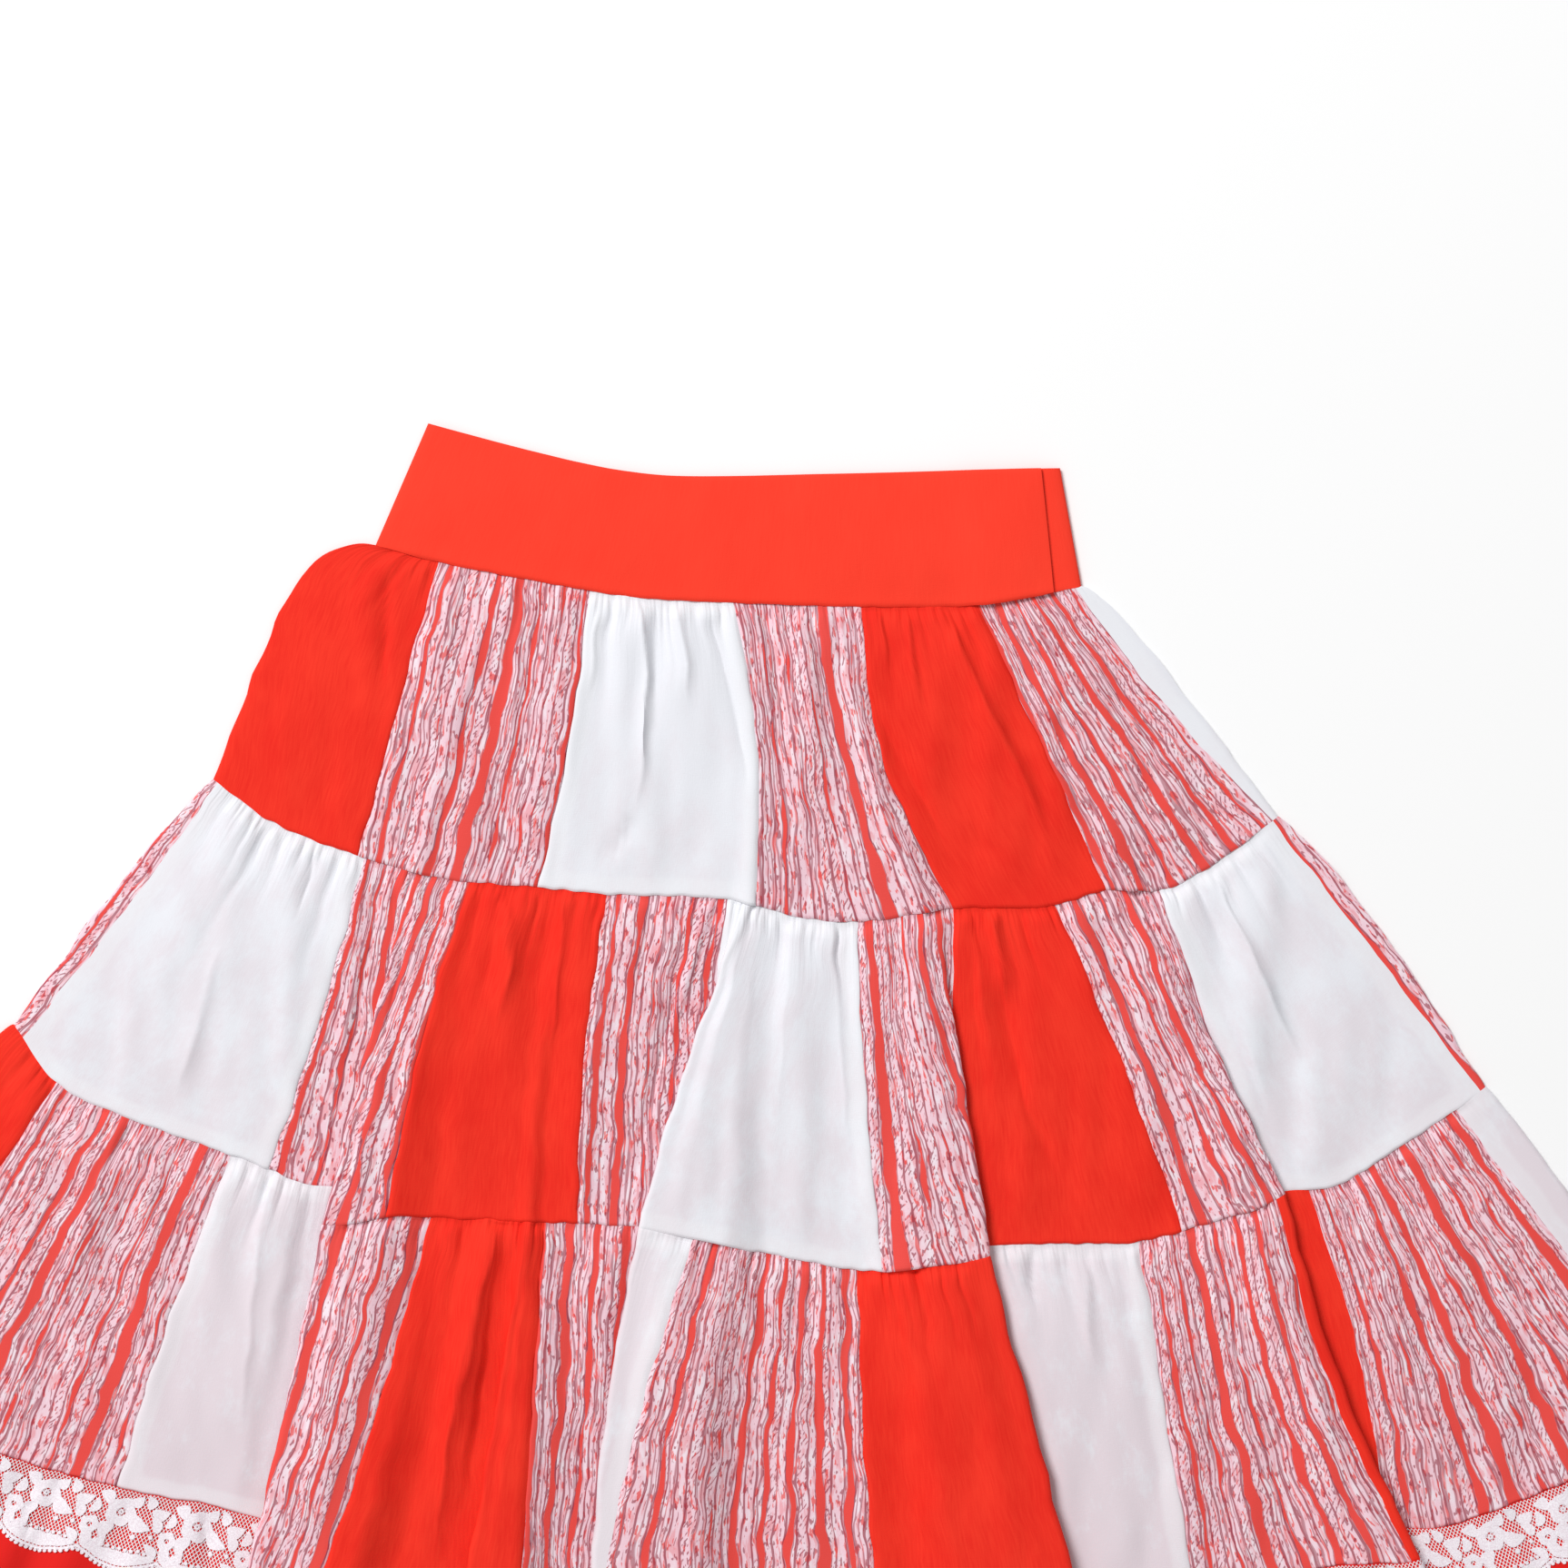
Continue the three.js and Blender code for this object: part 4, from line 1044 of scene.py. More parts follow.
def build_ruffle(settings):
    """Makes the ruffle and the lace that lies on it, each in a front and a back."""
    left, right = RUFFLE.seams
    over = Seam(2 * right.above - left.above, 2 * right.below - left.below)
    spacing = (settings.front_spacing * 1000 * RUFFLE_COARSER, settings.back_spacing * 1000)
    columns, at = columns_round(RUFFLE, [left, right, over], spacing)
    rows = np.array(RUFFLE_ROWS)
    points = cloth_points(RUFFLE, columns, rows)
    down = rows * RUFFLE.length
    arcs = arcs_along(points)
    share = share_of_both(RUFFLE.above, RUFFLE.below, columns.above, columns.below)
    front = columns.front[:, None]
    visible = visible_share(RUFFLE, columns, rows)
    gathers = gathers_relief(arcs[:, 0], down, RUFFLE_GATHERS, 41) + creases_of(RUFFLE, points)
    low = arcs[:, -1:]
    flutes = np.sin(low * 2 * math.pi / FLUTE_PITCH + 1.3 * np.sin(low / 70))
    swing = RUFFLE_SWING * flutes * (rows**1.2)
    relief = np.where(
        front,
        (gathers + RUFFLE_FULL + swing) * visible * mix(0.2, 1, ease(down / 10)),
        np.clip(-0.3 * gathers, 0, 1.0) * ease(down / 3),
    ) * share
    plain = points[..., 2] + RUFFLE_LIFT * (1 - ease((rows - 0.55) / 0.45))
    points[..., 2] = settled(front, plain, relief)
    normals = grid_normals(points)
    thickness = settings.cloth_thickness * 1000
    for half, first, last in (("front", at[0], at[1]), ("back", at[1], at[2])):
        cut = slice(first, last + 1)
        lengths = arcs[cut, -1] - arcs[first, -1]
        shape = (len(lengths), len(rows))
        values = {
            "seam": np.broadcast_to(down, shape),
            "fullness": np.broadcast_to(np.exp(-down / FULLNESS_FADE), shape),
        }
        uv = cloth_uv(lengths[:, None], down)
        name = f"cloth_ruffle_{half}"
        mesh = shell(name, points[cut], normals[cut], thickness, uv, values)
        ruffle = add_piece(name, mesh, cotton("ruffle"), [f"ruffle_{half}"])
        build_lace(
            half, points[cut], normals[cut], down, arcs[cut], LACE_GAP + thickness / 2
        )


Figure = namedtuple("Figure", "points faces")


def grid_faces(across, down, closed=False):
    """Quads over a grid of points, which may close on itself the long way."""
    faces = []
    for i in range(across if closed else across - 1):
        after = (i + 1) % across
        for j in range(down - 1):
            faces.append((i * down + j, i * down + j + 1, after * down + j + 1, after * down + j))
    return faces


def band_figure(left, right, upper, lower, steps):
    """A strip of lace cloth between two lines."""
    s = np.linspace(left, right, steps)
    rows = [upper(s), (upper(s) + lower(s)) / 2, lower(s)]
    points = np.stack([np.stack([s, w], axis=-1) for w in rows], axis=1)
    return Figure(points.reshape(-1, 2), grid_faces(steps, 3))


def rose_figure(s, w, outer, hole, petals):
    """A ring of petals round a hole."""
    turn = np.linspace(0, 2 * math.pi, ROSE_STEPS, endpoint=False)
    edge = outer * (1 + 0.09 * np.cos(petals * turn))
    radii = np.stack([np.full_like(turn, hole), (edge + hole) / 2, edge], axis=1)
    points = np.stack(
        [s + radii * np.cos(turn)[:, None], w + radii * np.sin(turn)[:, None]], axis=-1
    )
    return Figure(points.reshape(-1, 2), grid_faces(ROSE_STEPS, 3, True))


def leaf_figure(s, w, length, width, turn):
    """A leaf that is round at its foot and runs out to a point."""
    along = np.linspace(0.02, 1, LEAF_STEPS)
    half = width / 2 * np.sin(math.pi * along**0.7) ** 0.8
    middle = width * 0.25 * np.sin(math.pi * along)
    angle = math.radians(turn)
    place = []
    for side in (-1, 0, 1):
        x, y = along * length, middle + side * half
        turned_x = s + x * math.cos(angle) - y * math.sin(angle)
        turned_y = w + x * math.sin(angle) + y * math.cos(angle)
        place.append(np.stack([turned_x, turned_y], axis=-1))
    return Figure(np.stack(place, axis=1).reshape(-1, 2), grid_faces(LEAF_STEPS, 3))


def dot_figure(s, w, radius):
    """A small round dot."""
    turn = np.linspace(0, 2 * math.pi, DOT_STEPS, endpoint=False)
    ring = np.stack([s + radius * np.cos(turn), w + radius * np.sin(turn)], axis=-1)
    points = np.concatenate([ring, [[s, w]]])
    return Figure(points, [(i, DOT_STEPS, (i + 1) % DOT_STEPS) for i in range(DOT_STEPS)])


def scallop_edge(s):
    """How far the lace reaches down at a place along it."""
    return LACE_NARROW + LACE_SCALLOP * np.abs(np.sin(math.pi * s / SCALLOP_PITCH))


def lace_figures():
    """The thick parts of one repeat of the lace, along it and down from its top, in millimetres."""
    def braid_top(s):
        return scallop_edge(s) - BRAID_TOP - 0.2 * np.sin(2 * math.pi * s / 2.5)

    def braid_low(s):
        return scallop_edge(s) - BRAID_LOW

    def crescent_low(s):
        return scallop_edge(s) - CRESCENT_LOW

    def crescent_top(s):
        swell = np.sin(math.pi * np.clip((s - 1.5) / 37, 0, 1))
        waved = 0.8 * np.abs(np.sin(math.pi * s / 5))
        return crescent_low(s) - 0.4 - CRESCENT_DEEP * swell**0.6 + waved

    figures = [
        band_figure(0, SCALLOP_PITCH, braid_top, braid_low, 33),
        band_figure(1.7, 38.3, crescent_top, crescent_low, 36),
        rose_figure(15, 12, 7.6, 2.4, 5),
        rose_figure(15, 12, 1.4, 0.4, 5),
        leaf_figure(20.5, 13, 13, 8.0, 25),
        leaf_figure(12.5, 18, 11, 7.0, 105),
        leaf_figure(9.5, 8.5, 9, 6.5, -150),
        leaf_figure(18.5, 6.5, 8, 6.0, -40),
        rose_figure(2.0, 22.0, 4.8, 1.3, 5),
        leaf_figure(2.5, 34, 13, 5.6, -105),
        leaf_figure(5.0, 33.0, 10, 5.2, -48),
        leaf_figure(38.0, 33.0, 10, 5.2, -135),
        leaf_figure(36.5, 19, 9.0, 5.4, -125),
        leaf_figure(30.5, 9.5, 10, 6.4, -15),
        leaf_figure(29.5, 8.0, 8.0, 5.6, -110),
        leaf_figure(0.5, 15.5, 8.5, 5.0, -80),
        dot_figure(25.0, 23.5, 1.4),
        dot_figure(33.5, 22.0, 1.2),
    ]
    for place in np.arange(5.0, 36.0, 3.1):
        figures.append(dot_figure(place, float(crescent_top(place)) - 1.3, 1.0))
    for k in range(PICOTS):
        place = (k + 0.5) * SCALLOP_PITCH / PICOTS
        figures.append(dot_figure(place, float(scallop_edge(place)) - 0.35, 0.95))
    return figures


def plates(name, lay, repeats):
    """Thin closed plates of the lace's thick parts, laid on its surface by lay(s, w, height)."""
    corners, faces, first = [], [], 0
    figures = lace_figures()
    for repeat in range(repeats):
        for layer, figure in enumerate(figures):
            s, w = figure.points[:, 0] + repeat * SCALLOP_PITCH, figure.points[:, 1]
            count = len(s)
            corners.append(lay(s, w, FLOWER_HIGH + FLOWER_STEP * layer))
            corners.append(lay(s, w, FLOWER_LOW))
            edges = set()
            for face in figure.faces:
                faces.append([first + v for v in face])
                faces.append([first + count + v for v in reversed(face)])
                for a, b in zip(face, face[1:] + face[:1]):
                    edges ^= {(b, a) if (b, a) in edges else (a, b)}
            for a, b in sorted(edges):
                faces.append([first + b, first + a, first + count + a, first + count + b])
            first += 2 * count
    mesh = bpy.data.meshes.new(name)
    mesh.from_pydata(to_row(np.concatenate(corners)).tolist(), [], faces)
    mesh.validate()
    mesh.shade_smooth()
    mesh.set_sharp_from_angle(angle=math.radians(55))
    return mesh


def build_waistband(settings):
    """Makes the waistband, which starts under its own lap and ends on top of it."""
    top, low = RING["band_top"], RING["waist"]

    def whole(ring):
        return 2 * (ring.right - ring.left)

    stretches = (
        ((LAP[0] - LAP_UNDER, LAP[1] - LAP_UNDER), (top.right, low.right), 0),
        ((top.right, low.right), (top.left + whole(top), low.left + whole(low)), 0),
        (
            (top.left + whole(top), low.left + whole(low)),
            (LAP[0] + whole(top), LAP[1] + whole(low)),
            1,
        ),
    )
    above, below, turns = [], [], []
    for start, end, turn in stretches:
        count = int((end[1] - start[1]) / BAND_SPACING)
        near = np.array(BAND_NEAR) / (end[1] - start[1])
        shares = np.unique(np.concatenate([np.linspace(0, 1, count + 1), near, 1 - near]))
        shares = shares if not above else shares[1:]
        above.extend(mix(start[0], end[0], shares))
        below.extend(mix(start[1], end[1], shares))
        turns.extend([turn] * len(shares))
    above, below, turns = np.array(above), np.array(below), np.array(turns)
    rows = np.array(BAND_ROWS)
    ends = []
    for ring, places, lap_x in (("band_top", above, LAP[0]), ("waist", below, LAP[1])):
        spots, _ = ring_points(ring, places, BAND_BACK_Z)
        x, _ = unroll(RING[ring], places)
        spots[:, 2] += turns * LAP_RISE * ease((x - lap_x + LAP_UNDER + LAP_RAMP) / LAP_RAMP)
        ends.append(spots)
    points = mix(ends[0][:, None, :], ends[1][:, None, :], rows[None, :, None])
    _, front = unroll(low, below)
    down = rows * BAND_HEIGHT
    up = BAND_HEIGHT - down
    share = share_of_both("band_top", "waist", above, below)
    lap_end = ease((len(above) - 1 - np.arange(len(above))) / 3)[:, None]
    waves = waves_at(points[..., 0], points[..., 1], BAND_WAVES)
    puff = BAND_PUFF * np.sin(math.pi * rows) ** 0.7
    edges = bead(BAND_ROLL, up) - bead(BAND_GROOVE, up) - bead(BAND_TOP_GROOVE, down)
    relief = (puff + waves + edges) * share * mix(0.4, 1, lap_end)
    points[..., 2] += np.where(front[:, None], relief, np.clip(0.2 * relief, 0, 0.3))
    arcs = arcs_along(points)
    uv = cloth_uv(arcs[:, -1:], down)
    values = {
        "seam": np.broadcast_to(np.minimum(down, up), arcs.shape),
        "fullness": np.zeros(arcs.shape),
    }
    mesh = shell("cloth_waistband", points, grid_normals(points), BAND_THICK, uv, values)
    band = add_piece("cloth_waistband", mesh, cotton("band"), ["waistband"])


class Graph:
    """Short calls that add shader nodes and link them."""

    def __init__(self, name):
        self.material = bpy.data.materials.new(name)
        self.material.use_nodes = True
        self.tree = self.material.node_tree
        self.surface = self.tree.nodes["Principled BSDF"]

    def add(self, kind, **settings):
        """A node with some of its properties set."""
        node = self.tree.nodes.new(kind)
        for key, value in settings.items():
            setattr(node, key, value)
        return node

    def put(self, socket, value):
        """Links a socket or sets a plain value."""
        if isinstance(value, bpy.types.NodeSocket):
            self.tree.links.new(value, socket)
        else:
            socket.default_value = value

    def math(self, operation, a, b=0.0):
        """The result of a sum, a product or the like."""
        node = self.add("ShaderNodeMath", operation=operation)
        self.put(node.inputs[0], a)
        self.put(node.inputs[1], b)
        return node.outputs[0]

    def total(self, first, *others):
        """The sum of some values."""
        for value in others:
            first = self.math("ADD", first, value)
        return first

    def product(self, first, *others):
        """The product of some values."""
        for value in others:
            first = self.math("MULTIPLY", first, value)
        return first

    def spread(self, value, size):
        """A value from 0 to 1 as one around zero, over that size."""
        return self.math("MULTIPLY", self.math("SUBTRACT", value, 0.5), size)

    def line(self, value, middle, half, soft):
        """1 where a value is near the middle, fading over the soft stretch."""
        gap = self.math("ABSOLUTE", self.math("SUBTRACT", value, middle))
        return self.between(gap, half, half + soft, 1.0, 0.0)

    def cloth_map(self):
        """The cloth coordinates in millimetres, as two sockets."""
        split = self.add("ShaderNodeSeparateXYZ")
        self.put(split.inputs[0], self.add("ShaderNodeUVMap", uv_map="cloth").outputs[0])
        return self.product(split.outputs[0], 100.0), self.product(split.outputs[1], 100.0)

    def mark(self, name):
        """A named value of the mesh."""
        node = self.add("ShaderNodeAttribute", attribute_name=name)
        return node.outputs["Fac"]

    def join(self, x, y, z=0.0):
        """A vector from three values."""
        node = self.add("ShaderNodeCombineXYZ")
        for socket, value in zip(node.inputs, (x, y, z)):
            self.put(socket, value)
        return node.outputs[0]

    def noise(self, x, y, per_x, per_y, detail=1.0, shift=0.0):
        """Noise from 0 to 1 whose cells measure about per_x by per_y millimetres."""
        node = self.add("ShaderNodeTexNoise")
        place = self.join(self.math("DIVIDE", x, per_x), self.math("DIVIDE", y, per_y), shift)
        self.put(node.inputs["Vector"], place)
        node.inputs["Scale"].default_value = 1.0
        node.inputs["Detail"].default_value = detail
        return node.outputs[0]

    def chance(self, number):
        """A share between 0 and 1 that belongs to a number."""
        node = self.add("ShaderNodeTexWhiteNoise", noise_dimensions="1D")
        self.put(node.inputs["W"], number)
        return node.outputs["Value"]

    def between(self, value, low, high, to_low=0.0, to_high=1.0):
        """A value eased from one range into another."""
        node = self.add("ShaderNodeMapRange", interpolation_type="SMOOTHSTEP")
        for socket, number in zip(node.inputs, (value, low, high, to_low, to_high)):
            self.put(socket, number)
        return node.outputs[0]

    def blend(self, share, first, second):
        """Two colours mixed by a share."""
        node = self.add("ShaderNodeMix", data_type="RGBA")
        self.put(node.inputs[0], share)
        self.put(node.inputs[6], first)
        self.put(node.inputs[7], second)
        return node.outputs[2]

    def bump(self, height, strength, distance, before=None):
        """A bump's normal."""
        node = self.add("ShaderNodeBump")
        node.inputs["Strength"].default_value = strength
        node.inputs["Distance"].default_value = distance
        self.put(node.inputs["Height"], height)
        if before is not None:
            self.put(node.inputs["Normal"], before)
        return node.outputs[0]


def paint(red, green, blue):
    """A colour given as 0 to 255 on screen, as the shader wants it."""
    def linear(value):
        v = value / 255
        return v / 12.92 if v <= 0.04045 else ((v + 0.055) / 1.055) ** 2.4

    return (linear(red), linear(green), linear(blue), 1.0)


RED = paint(246, 56, 38)
RED_DEEP = paint(234, 42, 30)
RED_BAND = paint(253, 66, 46)
RED_EVEN = paint(251, 62, 43)
RED_RUFFLE = paint(226, 34, 30)
WHITE = paint(232, 233, 239)
WHITE_PINK = paint(222, 196, 203)
WHITE_DOUBLE = paint(240, 241, 244)
PRINT_GROUND = paint(242, 205, 216)
PRINT_WHITE = paint(243, 225, 233)
PRINT_CORAL = paint(233, 78, 72)
PRINT_ROSE = paint(230, 116, 122)
PRINT_LINE = paint(154, 50, 68)
LACE = paint(249, 244, 249)
LACE_SHADE = paint(234, 220, 228)


def weave_normal(graph, across, down, fullness):
    """The bump of a plain cotton weave with its slubs, and of fine puckers under a seam."""
    warp = graph.noise(across, down, 0.55, 3.5, 2.0)
    weft = graph.noise(across, down, 3.5, 0.55, 2.0, 7.0)
    first = graph.bump(graph.total(warp, weft), 0.35, 0.0002)
    pleats = graph.noise(across, down, 2.6, 38.0, 1.0, 3.0)
    return graph.bump(graph.product(pleats, fullness), 0.6, 0.0012, first)


def finish_cotton(graph, colour, rough):
    """Cotton's shader with that colour."""
    across, down = graph.cloth_map()
    shader = graph.surface.inputs
    graph.put(shader["Base Color"], colour)
    shader["Roughness"].default_value = rough
    shader["Specular IOR Level"].default_value = 0.12
    graph.put(shader["Normal"], weave_normal(graph, across, down, graph.mark("fullness")))
    return graph.material


def red_cotton(name, light, deep):
    """Plain red cotton with faint slubs."""
    graph = Graph(name)
    across, down = graph.cloth_map()
    slub = graph.noise(across, down, 0.9, 14.0, 2.0)
    cloud = graph.noise(across, down, 26.0, 40.0, 2.0, 5.0)
    share = graph.between(graph.total(slub, cloud), 0.6, 1.4)
    colour = graph.blend(share, deep, light)
    return finish_cotton(graph, colour, 0.8)


def white_cotton():
    """Thin white cotton, pinker where the red behind it shows through and whiter at its seams."""
    graph = Graph("woven_white")
    across, down = graph.cloth_map()
    cloud = graph.noise(across, down, 16.0, 30.0, 3.0, 2.0)
    fine = graph.noise(across, down, 2.2, 5.0, 2.0, 9.0)
    patchy = graph.total(cloud, graph.product(fine, 0.35))
    behind = graph.mark("behind")
    low = graph.math("SUBTRACT", 0.65, graph.product(behind, 0.45))
    through = graph.between(patchy, low, graph.total(low, 0.45))
    through = graph.product(through, behind, 0.6)
    colour = graph.blend(through, WHITE, WHITE_PINK)
    double = graph.between(graph.mark("seam"), *ALLOWANCE, 1.0, 0.0)
    colour = graph.blend(graph.product(double, 0.3), colour, WHITE_DOUBLE)
    return finish_cotton(graph, colour, 0.82)


def print_cotton():
    """Cotton printed like bark: coral bands and paler lanes of dashes, hatching and fine lines."""
    graph = Graph("woven_print")
    across, down = graph.cloth_map()
    noise, total, product = graph.noise, graph.total, graph.product

    # All stripes wander sideways together
    x = total(
        across,
        graph.spread(noise(across, down, 45.0, 120.0, 1.0, 2.0), 9.0),
        graph.spread(noise(across, down, 24.0, 30.0, 1.0, 1.0), 4.0),
        graph.spread(noise(across, down, 8.0, 13.0, 1.0, 4.0), 1.2),
    )

    # Coral stripes, each of its own uneven width, with an outline
    stripe = graph.math("DIVIDE", x, STRIPE_PITCH)
    from_middle = graph.math("SUBTRACT", graph.math("FRACT", stripe), 0.5)
    half = total(
        product(graph.chance(graph.math("FLOOR", stripe)), 3.2),
        graph.spread(noise(x, down, 6.0, 30.0, 2.0, 17.0), 6.0),
        -0.5,
    )
    past = graph.math("SUBTRACT", product(graph.math("ABSOLUTE", from_middle), STRIPE_PITCH), half)
    coral = graph.between(past, 0.0, 0.25, 1.0, 0.0)
    outline = graph.line(past, 0.35, 0.1, 0.2)

    # Lanes with dashes, numbered apart from the stripes. Some have grain lines or hatching too.
    lane = graph.math("DIVIDE", x, LANE_PITCH)
    inside = graph.math("FRACT", lane)
    kind = graph.chance(total(graph.math("FLOOR", lane), LANE_NUMBERS))
    salt = product(kind, 60.0)
    hatched = graph.between(kind, HATCHED_FROM, HATCHED_FROM + 0.001)
    lined = graph.between(kind, LINED_TO, LINED_TO + 0.001, 1.0, 0.0)
    dash = graph.between(noise(x, total(down, salt), 1.3, 5.2, 1.0, 37.0), 0.6, 0.64)
    slant = total(product(x, 1.3), product(down, 0.75), salt)
    slant = total(slant, graph.spread(noise(x, down, 4.0, 9.0, 1.0, 5.0), 2.2))
    strokes = graph.math("FRACT", graph.math("DIVIDE", slant, HATCH_PITCH))
    broken = graph.between(noise(x, down, 1.4, 5.0, 1.0, 43.0), 0.46, 0.56)
    hatch = product(graph.line(strokes, 0.5, 0.12, 0.08), broken, hatched)
    bent = graph.spread(noise(x, down, 6.0, 40.0, 1.0, 23.0), 2.6)
    rings = graph.math("FRACT", total(graph.math("DIVIDE", x, GRAIN_PITCH), bent))
    grain = product(graph.line(rings, 0.5, 0.1, 0.12), lined)
    rim = graph.math("MINIMUM", inside, graph.math("SUBTRACT", 1.0, inside))
    wobble = graph.spread(noise(x, down, 3.0, 16.0, 1.0, 29.0), 0.2)
    border = graph.line(total(rim, wobble), 0.03, 0.035, 0.05)

    # The ground, then rose and coral flecks, the ink of the lanes, and the stripes on top
    tint = graph.between(noise(across, down, 5.0, 16.0, 2.0, 59.0), 0.46, 0.68)
    rose = graph.between(noise(x, down, 2.4, 14.0, 2.0, 61.0), 0.5, 0.62)
    fleck = graph.between(noise(x, down, 1.7, 8.0, 2.0, 67.0), 0.59, 0.63)
    shade = graph.between(noise(x, down, 2.2, 16.0, 1.0, 71.0), 0.58, 0.68)
    ink = product(dash, 0.72)
    for mark, strength in ((hatch, 0.75), (grain, 0.62), (border, 0.8)):
        ink = graph.math("MAXIMUM", ink, product(mark, strength))
    colour = graph.blend(tint, PRINT_GROUND, PRINT_WHITE)
    colour = graph.blend(product(rose, 0.45), colour, PRINT_ROSE)
    colour = graph.blend(product(fleck, 0.8), colour, PRINT_CORAL)
    colour = graph.blend(ink, colour, graph.blend(shade, PRINT_LINE, PRINT_CORAL))
    colour = graph.blend(coral, colour, PRINT_CORAL)
    colour = graph.blend(product(outline, 0.7), colour, PRINT_LINE)
    return finish_cotton(graph, colour, 0.82)


def lace_net():
    """The fine net of the lace, open between its threads."""
    if "lace_net" in bpy.data.materials:
        return bpy.data.materials["lace_net"]
    graph = Graph("lace_net")
    across, down = graph.cloth_map()
    sides = []
    for sign in (1.0, -1.0):
        slant = graph.total(across, graph.product(down, 0.7 * sign))
        saw = graph.math("FRACT", graph.math("DIVIDE", slant, NET_PITCH))
        sides.append(graph.math("ABSOLUTE", graph.math("SUBTRACT", saw, 0.5)))
    nearest = graph.math("MINIMUM", *sides)
    threads = graph.between(nearest, 0.08, 0.12, 1.0, 0.0)
    shader = graph.surface.inputs
    shader["Base Color"].default_value = LACE
    shader["Roughness"].default_value = 0.7
    graph.put(shader["Alpha"], threads)
    return graph.material


def lace_thread():
    """The dense thread of the lace's flowers and edge."""
    if "lace_thread" in bpy.data.materials:
        return bpy.data.materials["lace_thread"]
    graph = Graph("lace_thread")
    place = graph.add("ShaderNodeTexCoord").outputs["Object"]
    grain = graph.add("ShaderNodeTexNoise")
    graph.put(grain.inputs["Vector"], place)
    grain.inputs["Scale"].default_value = 1400
    grain.inputs["Detail"].default_value = 2.0
    share = graph.between(grain.outputs[0], 0.35, 0.65)
    graph.put(graph.surface.inputs["Base Color"], graph.blend(share, LACE_SHADE, LACE))
    graph.surface.inputs["Roughness"].default_value = 0.75
    graph.surface.inputs["Specular IOR Level"].default_value = 0.15
    graph.put(graph.surface.inputs["Normal"], graph.bump(grain.outputs[0], 0.5, 0.0003))
    return graph.material


COTTONS = {
    "red": lambda: red_cotton("woven_red", RED, RED_DEEP),
    "band": lambda: red_cotton("woven_band", RED_BAND, RED_EVEN),
    "ruffle": lambda: finish_cotton(Graph("woven_ruffle"), RED_RUFFLE, 0.8),
    "white": white_cotton,
    "print": print_cotton,
}


def cotton(kind):
    """The cotton of that kind, made once."""
    return bpy.data.materials.get(f"woven_{kind}") or COTTONS[kind]()


class SkirtClothSettings(bpy.types.PropertyGroup):
    """Sizes of the cloth's mesh."""

    cloth_thickness: bpy.props.FloatProperty(
        name="Cloth thickness", description="Thickness of the cotton with its dressing",
        default=0.0007, min=0.0003, max=0.0015, precision=4, unit="LENGTH",
    )
    front_spacing: bpy.props.FloatProperty(
        name="Front spacing", description="Distance between the mesh's columns on the front",
        default=0.0010, min=0.0005, max=0.01, precision=4, unit="LENGTH",
    )
    back_spacing: bpy.props.FloatProperty(
        name="Back spacing", description="Distance between the mesh's columns on the back",
        default=0.0026, min=0.0005, max=0.02, precision=4, unit="LENGTH",
    )


class SkirtStageSettings(bpy.types.PropertyGroup):
    """The camera over the table and its light."""

    camera_place: bpy.props.FloatVectorProperty(
        name="Camera place", description="Where the camera hangs, in the row frame",
        default=(0.0260, 0.1662, 1.6110), subtype="TRANSLATION", unit="LENGTH",
    )
    lens: bpy.props.FloatProperty(
        name="Lens", description="Focal length in millimetres on a sensor 36 mm wide",
        default=70.0, min=20, max=300,
    )
    lamp_place: bpy.props.FloatVectorProperty(
        name="Lamp place", description="Where the large soft lamp stands, at the upper left",
        default=(-3.4, 3.6, 5.2), subtype="TRANSLATION", unit="LENGTH",
    )
    lamp_size: bpy.props.FloatProperty(
        name="Lamp size", description="Width of the lamp's round face",
        default=3.2, min=0.1, max=10, unit="LENGTH",
    )
    lamp_power: bpy.props.FloatProperty(
        name="Lamp power", description="Power of the lamp",
        default=440.0, min=0, max=5000, unit="POWER",
    )
    sky_strength: bpy.props.FloatProperty(
        name="Room light", description="Strength of the light that comes from all sides",
        default=0.41, min=0, max=5,
    )


class SKIRT_OT_waistband(bpy.types.Operator):
    """Build the waistband with its lap"""

    bl_idname = "skirt.waistband"
    bl_label = "Waistband"
    bl_options = {"REGISTER", "UNDO"}

    def execute(self, context):
        build_waistband(context.scene.skirt_cloth)
        return {"FINISHED"}


class SKIRT_OT_upper_tier(bpy.types.Operator):
    """Build the patches of the upper tier"""

    bl_idname = "skirt.upper_tier"
    bl_label = "Upper tier"
    bl_options = {"REGISTER", "UNDO"}

    def execute(self, context):
        build_tier(TIERS[0], context.scene.skirt_cloth, 1)
        return {"FINISHED"}


class SKIRT_OT_middle_tier(bpy.types.Operator):
    """Build the patches of the middle tier"""

    bl_idname = "skirt.middle_tier"
    bl_label = "Middle tier"
    bl_options = {"REGISTER", "UNDO"}

    def execute(self, context):
        build_tier(TIERS[1], context.scene.skirt_cloth, 2)
        return {"FINISHED"}


class SKIRT_OT_lower_tier(bpy.types.Operator):
    """Build the patches of the lower tier"""

    bl_idname = "skirt.lower_tier"
    bl_label = "Lower tier"
    bl_options = {"REGISTER", "UNDO"}

    def execute(self, context):
        build_tier(TIERS[2], context.scene.skirt_cloth, 3)
        return {"FINISHED"}


class SKIRT_OT_hem(bpy.types.Operator):
    """Build the ruffle and the lace at the hem"""

    bl_idname = "skirt.hem"
    bl_label = "Ruffle and lace"
    bl_options = {"REGISTER", "UNDO"}

    def execute(self, context):
        build_ruffle(context.scene.skirt_cloth)
        return {"FINISHED"}


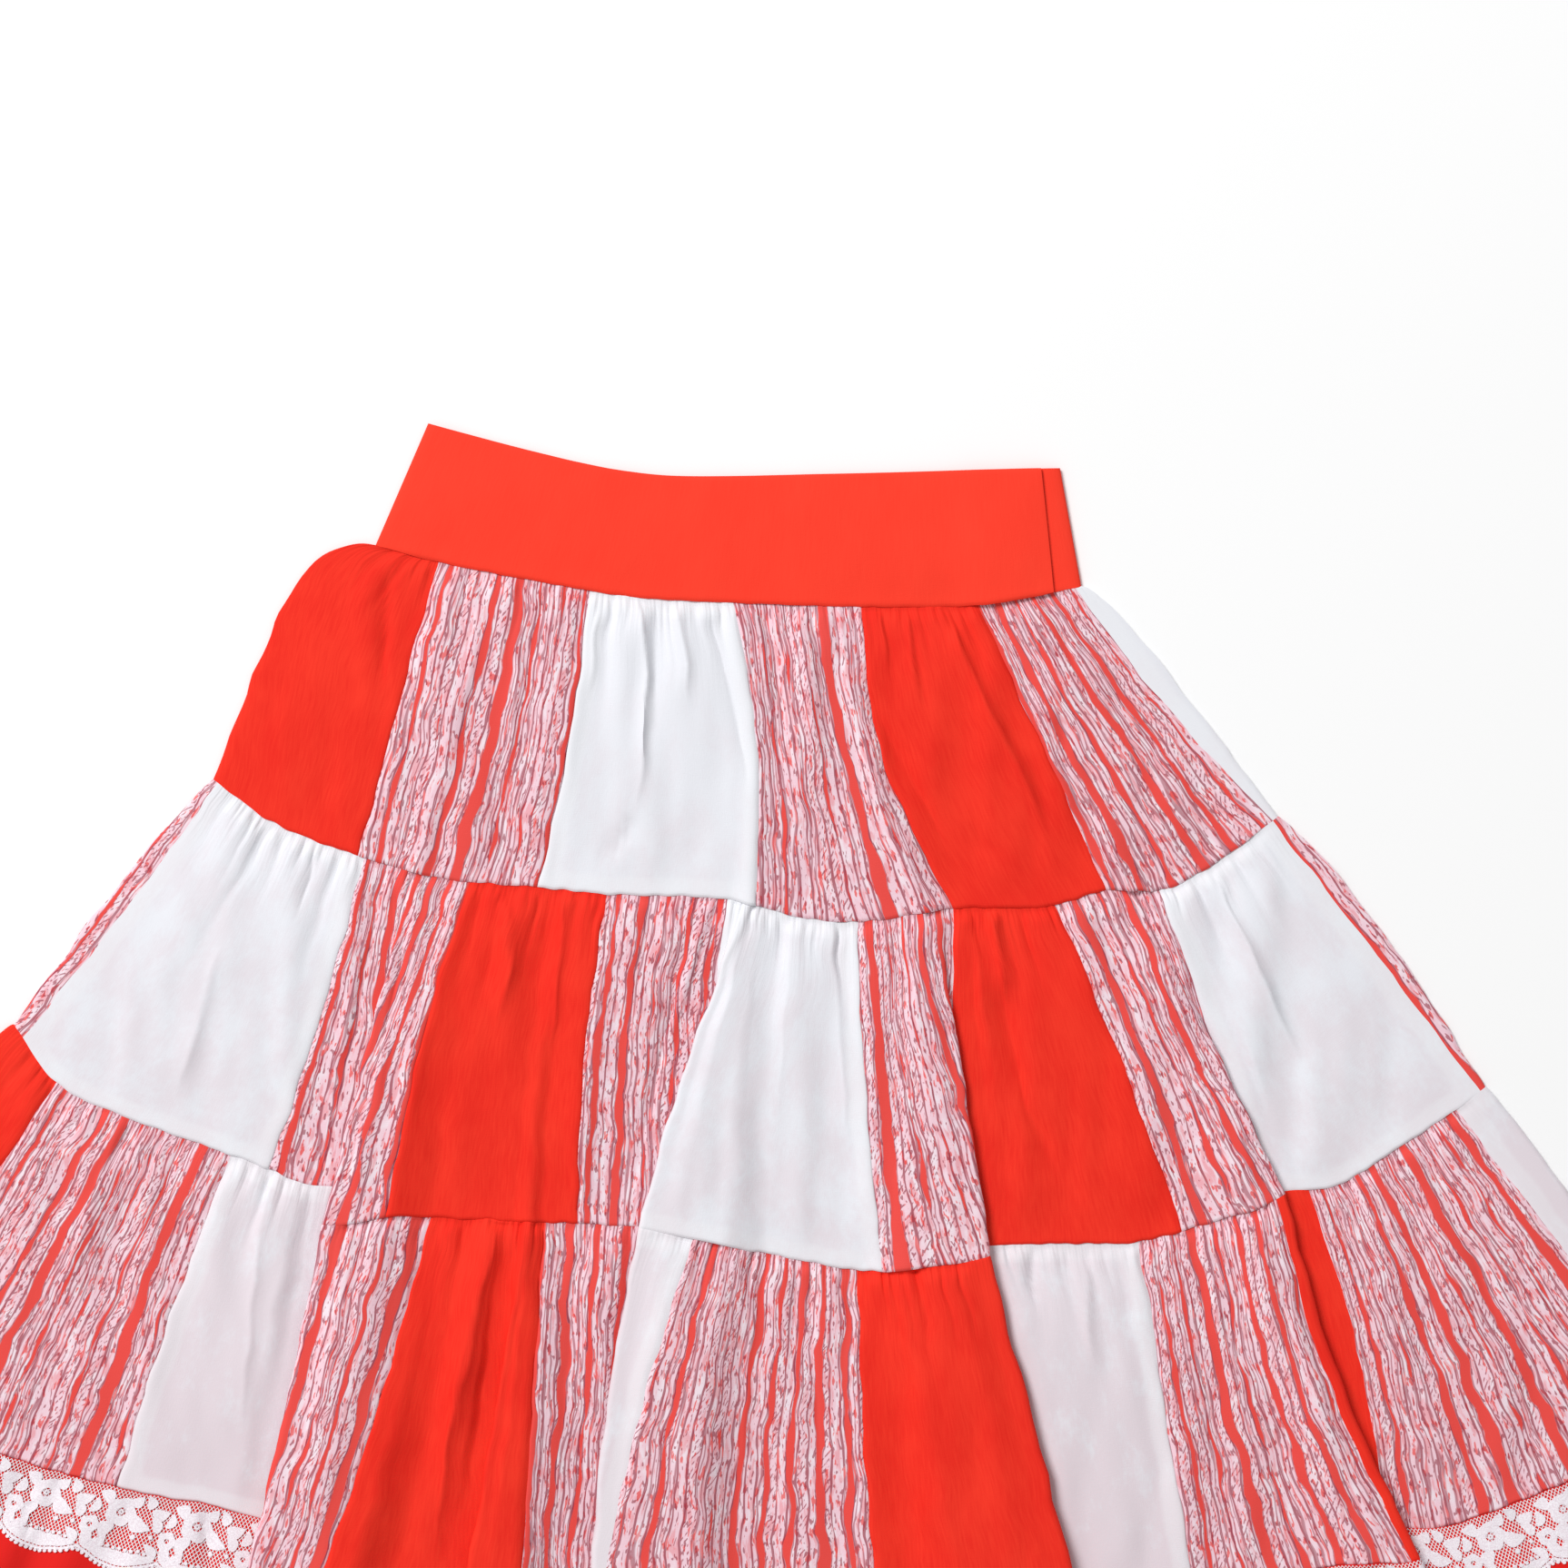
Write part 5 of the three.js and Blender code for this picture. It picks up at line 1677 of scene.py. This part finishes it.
class SKIRT_OT_stage(bpy.types.Operator):
    """Set up the floor, the soft light and the camera"""

    bl_idname = "skirt.stage"
    bl_label = "Stage"
    bl_options = {"REGISTER", "UNDO"}

    def execute(self, context):
        settings = context.scene.skirt_stage
        bpy.ops.mesh.primitive_plane_add(size=FLOOR_SIZE, location=(0, 0, 0))
        floor = context.object
        floor.name = "floor"
        graph = Graph("floor_paint")
        graph.surface.inputs["Base Color"].default_value = (*[FLOOR_WHITE] * 3, 1)
        graph.surface.inputs["Roughness"].default_value = 0.9
        graph.surface.inputs["Specular IOR Level"].default_value = 0.1
        floor.data.materials.append(graph.material)
        floor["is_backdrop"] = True
        bpy.ops.object.camera_add(location=settings.camera_place, rotation=(0, 0, 0))
        camera = context.object
        camera.name = "camera"
        camera.data.sensor_width = 36
        camera.data.lens = settings.lens
        camera.data.clip_end = 20
        context.scene.camera = camera
        bpy.ops.object.light_add(type="AREA", location=settings.lamp_place)
        lamp = context.object
        lamp.name = "soft_lamp"
        lamp.rotation_euler = (-Vector(settings.lamp_place)).to_track_quat("-Z", "Y").to_euler()
        lamp.data.shape = "DISK"
        lamp.data.size = settings.lamp_size
        lamp.data.energy = settings.lamp_power
        world = bpy.data.worlds.new("room")
        world.use_nodes = True
        background = world.node_tree.nodes["Background"]
        background.inputs[0].default_value = (1, 1, 1, 1)
        background.inputs[1].default_value = settings.sky_strength
        context.scene.world = world
        context.scene.view_settings.view_transform = "Standard"
        return {"FINISHED"}


class SKIRT_PT_panel(bpy.types.Panel):
    """Lists the skirt's parts in the sidebar"""

    bl_idname = "SKIRT_PT_panel"
    bl_label = "Square dance skirt"
    bl_space_type = "VIEW_3D"
    bl_region_type = "UI"
    bl_category = "Skirt"

    def draw(self, context):
        column = self.layout.column()
        for settings in (context.scene.skirt_cloth, context.scene.skirt_stage):
            for key in settings.bl_rna.properties.keys():
                if key not in ("rna_type", "name"):
                    column.prop(settings, key)
        for operator in OPERATORS:
            column.operator(operator.bl_idname)


OPERATORS = (
    SKIRT_OT_waistband,
    SKIRT_OT_upper_tier,
    SKIRT_OT_middle_tier,
    SKIRT_OT_lower_tier,
    SKIRT_OT_hem,
    SKIRT_OT_stage,
)
CLASSES = (SkirtClothSettings, SkirtStageSettings, *OPERATORS, SKIRT_PT_panel)


def register():
    """Makes the settings, the operators and the panel known."""
    for cls in CLASSES:
        bpy.utils.register_class(cls)
    bpy.types.Scene.skirt_cloth = bpy.props.PointerProperty(type=SkirtClothSettings)
    bpy.types.Scene.skirt_stage = bpy.props.PointerProperty(type=SkirtStageSettings)


def unregister():
    """Takes them away again."""
    del bpy.types.Scene.skirt_stage
    del bpy.types.Scene.skirt_cloth
    for cls in reversed(CLASSES):
        bpy.utils.unregister_class(cls)


def main():
    """Builds the whole skirt on its stage."""
    register()
    for item in bpy.context.scene.objects:
        item.select_set(False)
    bpy.ops.skirt.stage()
    bpy.ops.skirt.waistband()
    bpy.ops.skirt.upper_tier()
    bpy.ops.skirt.middle_tier()
    bpy.ops.skirt.lower_tier()
    bpy.ops.skirt.hem()
    sizes = {"cad": CAD_BOX, "visual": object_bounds()}
    plain = {key: [[float(v) for v in corner] for corner in box] for key, box in sizes.items()}


if __name__ == "__main__":
    main()
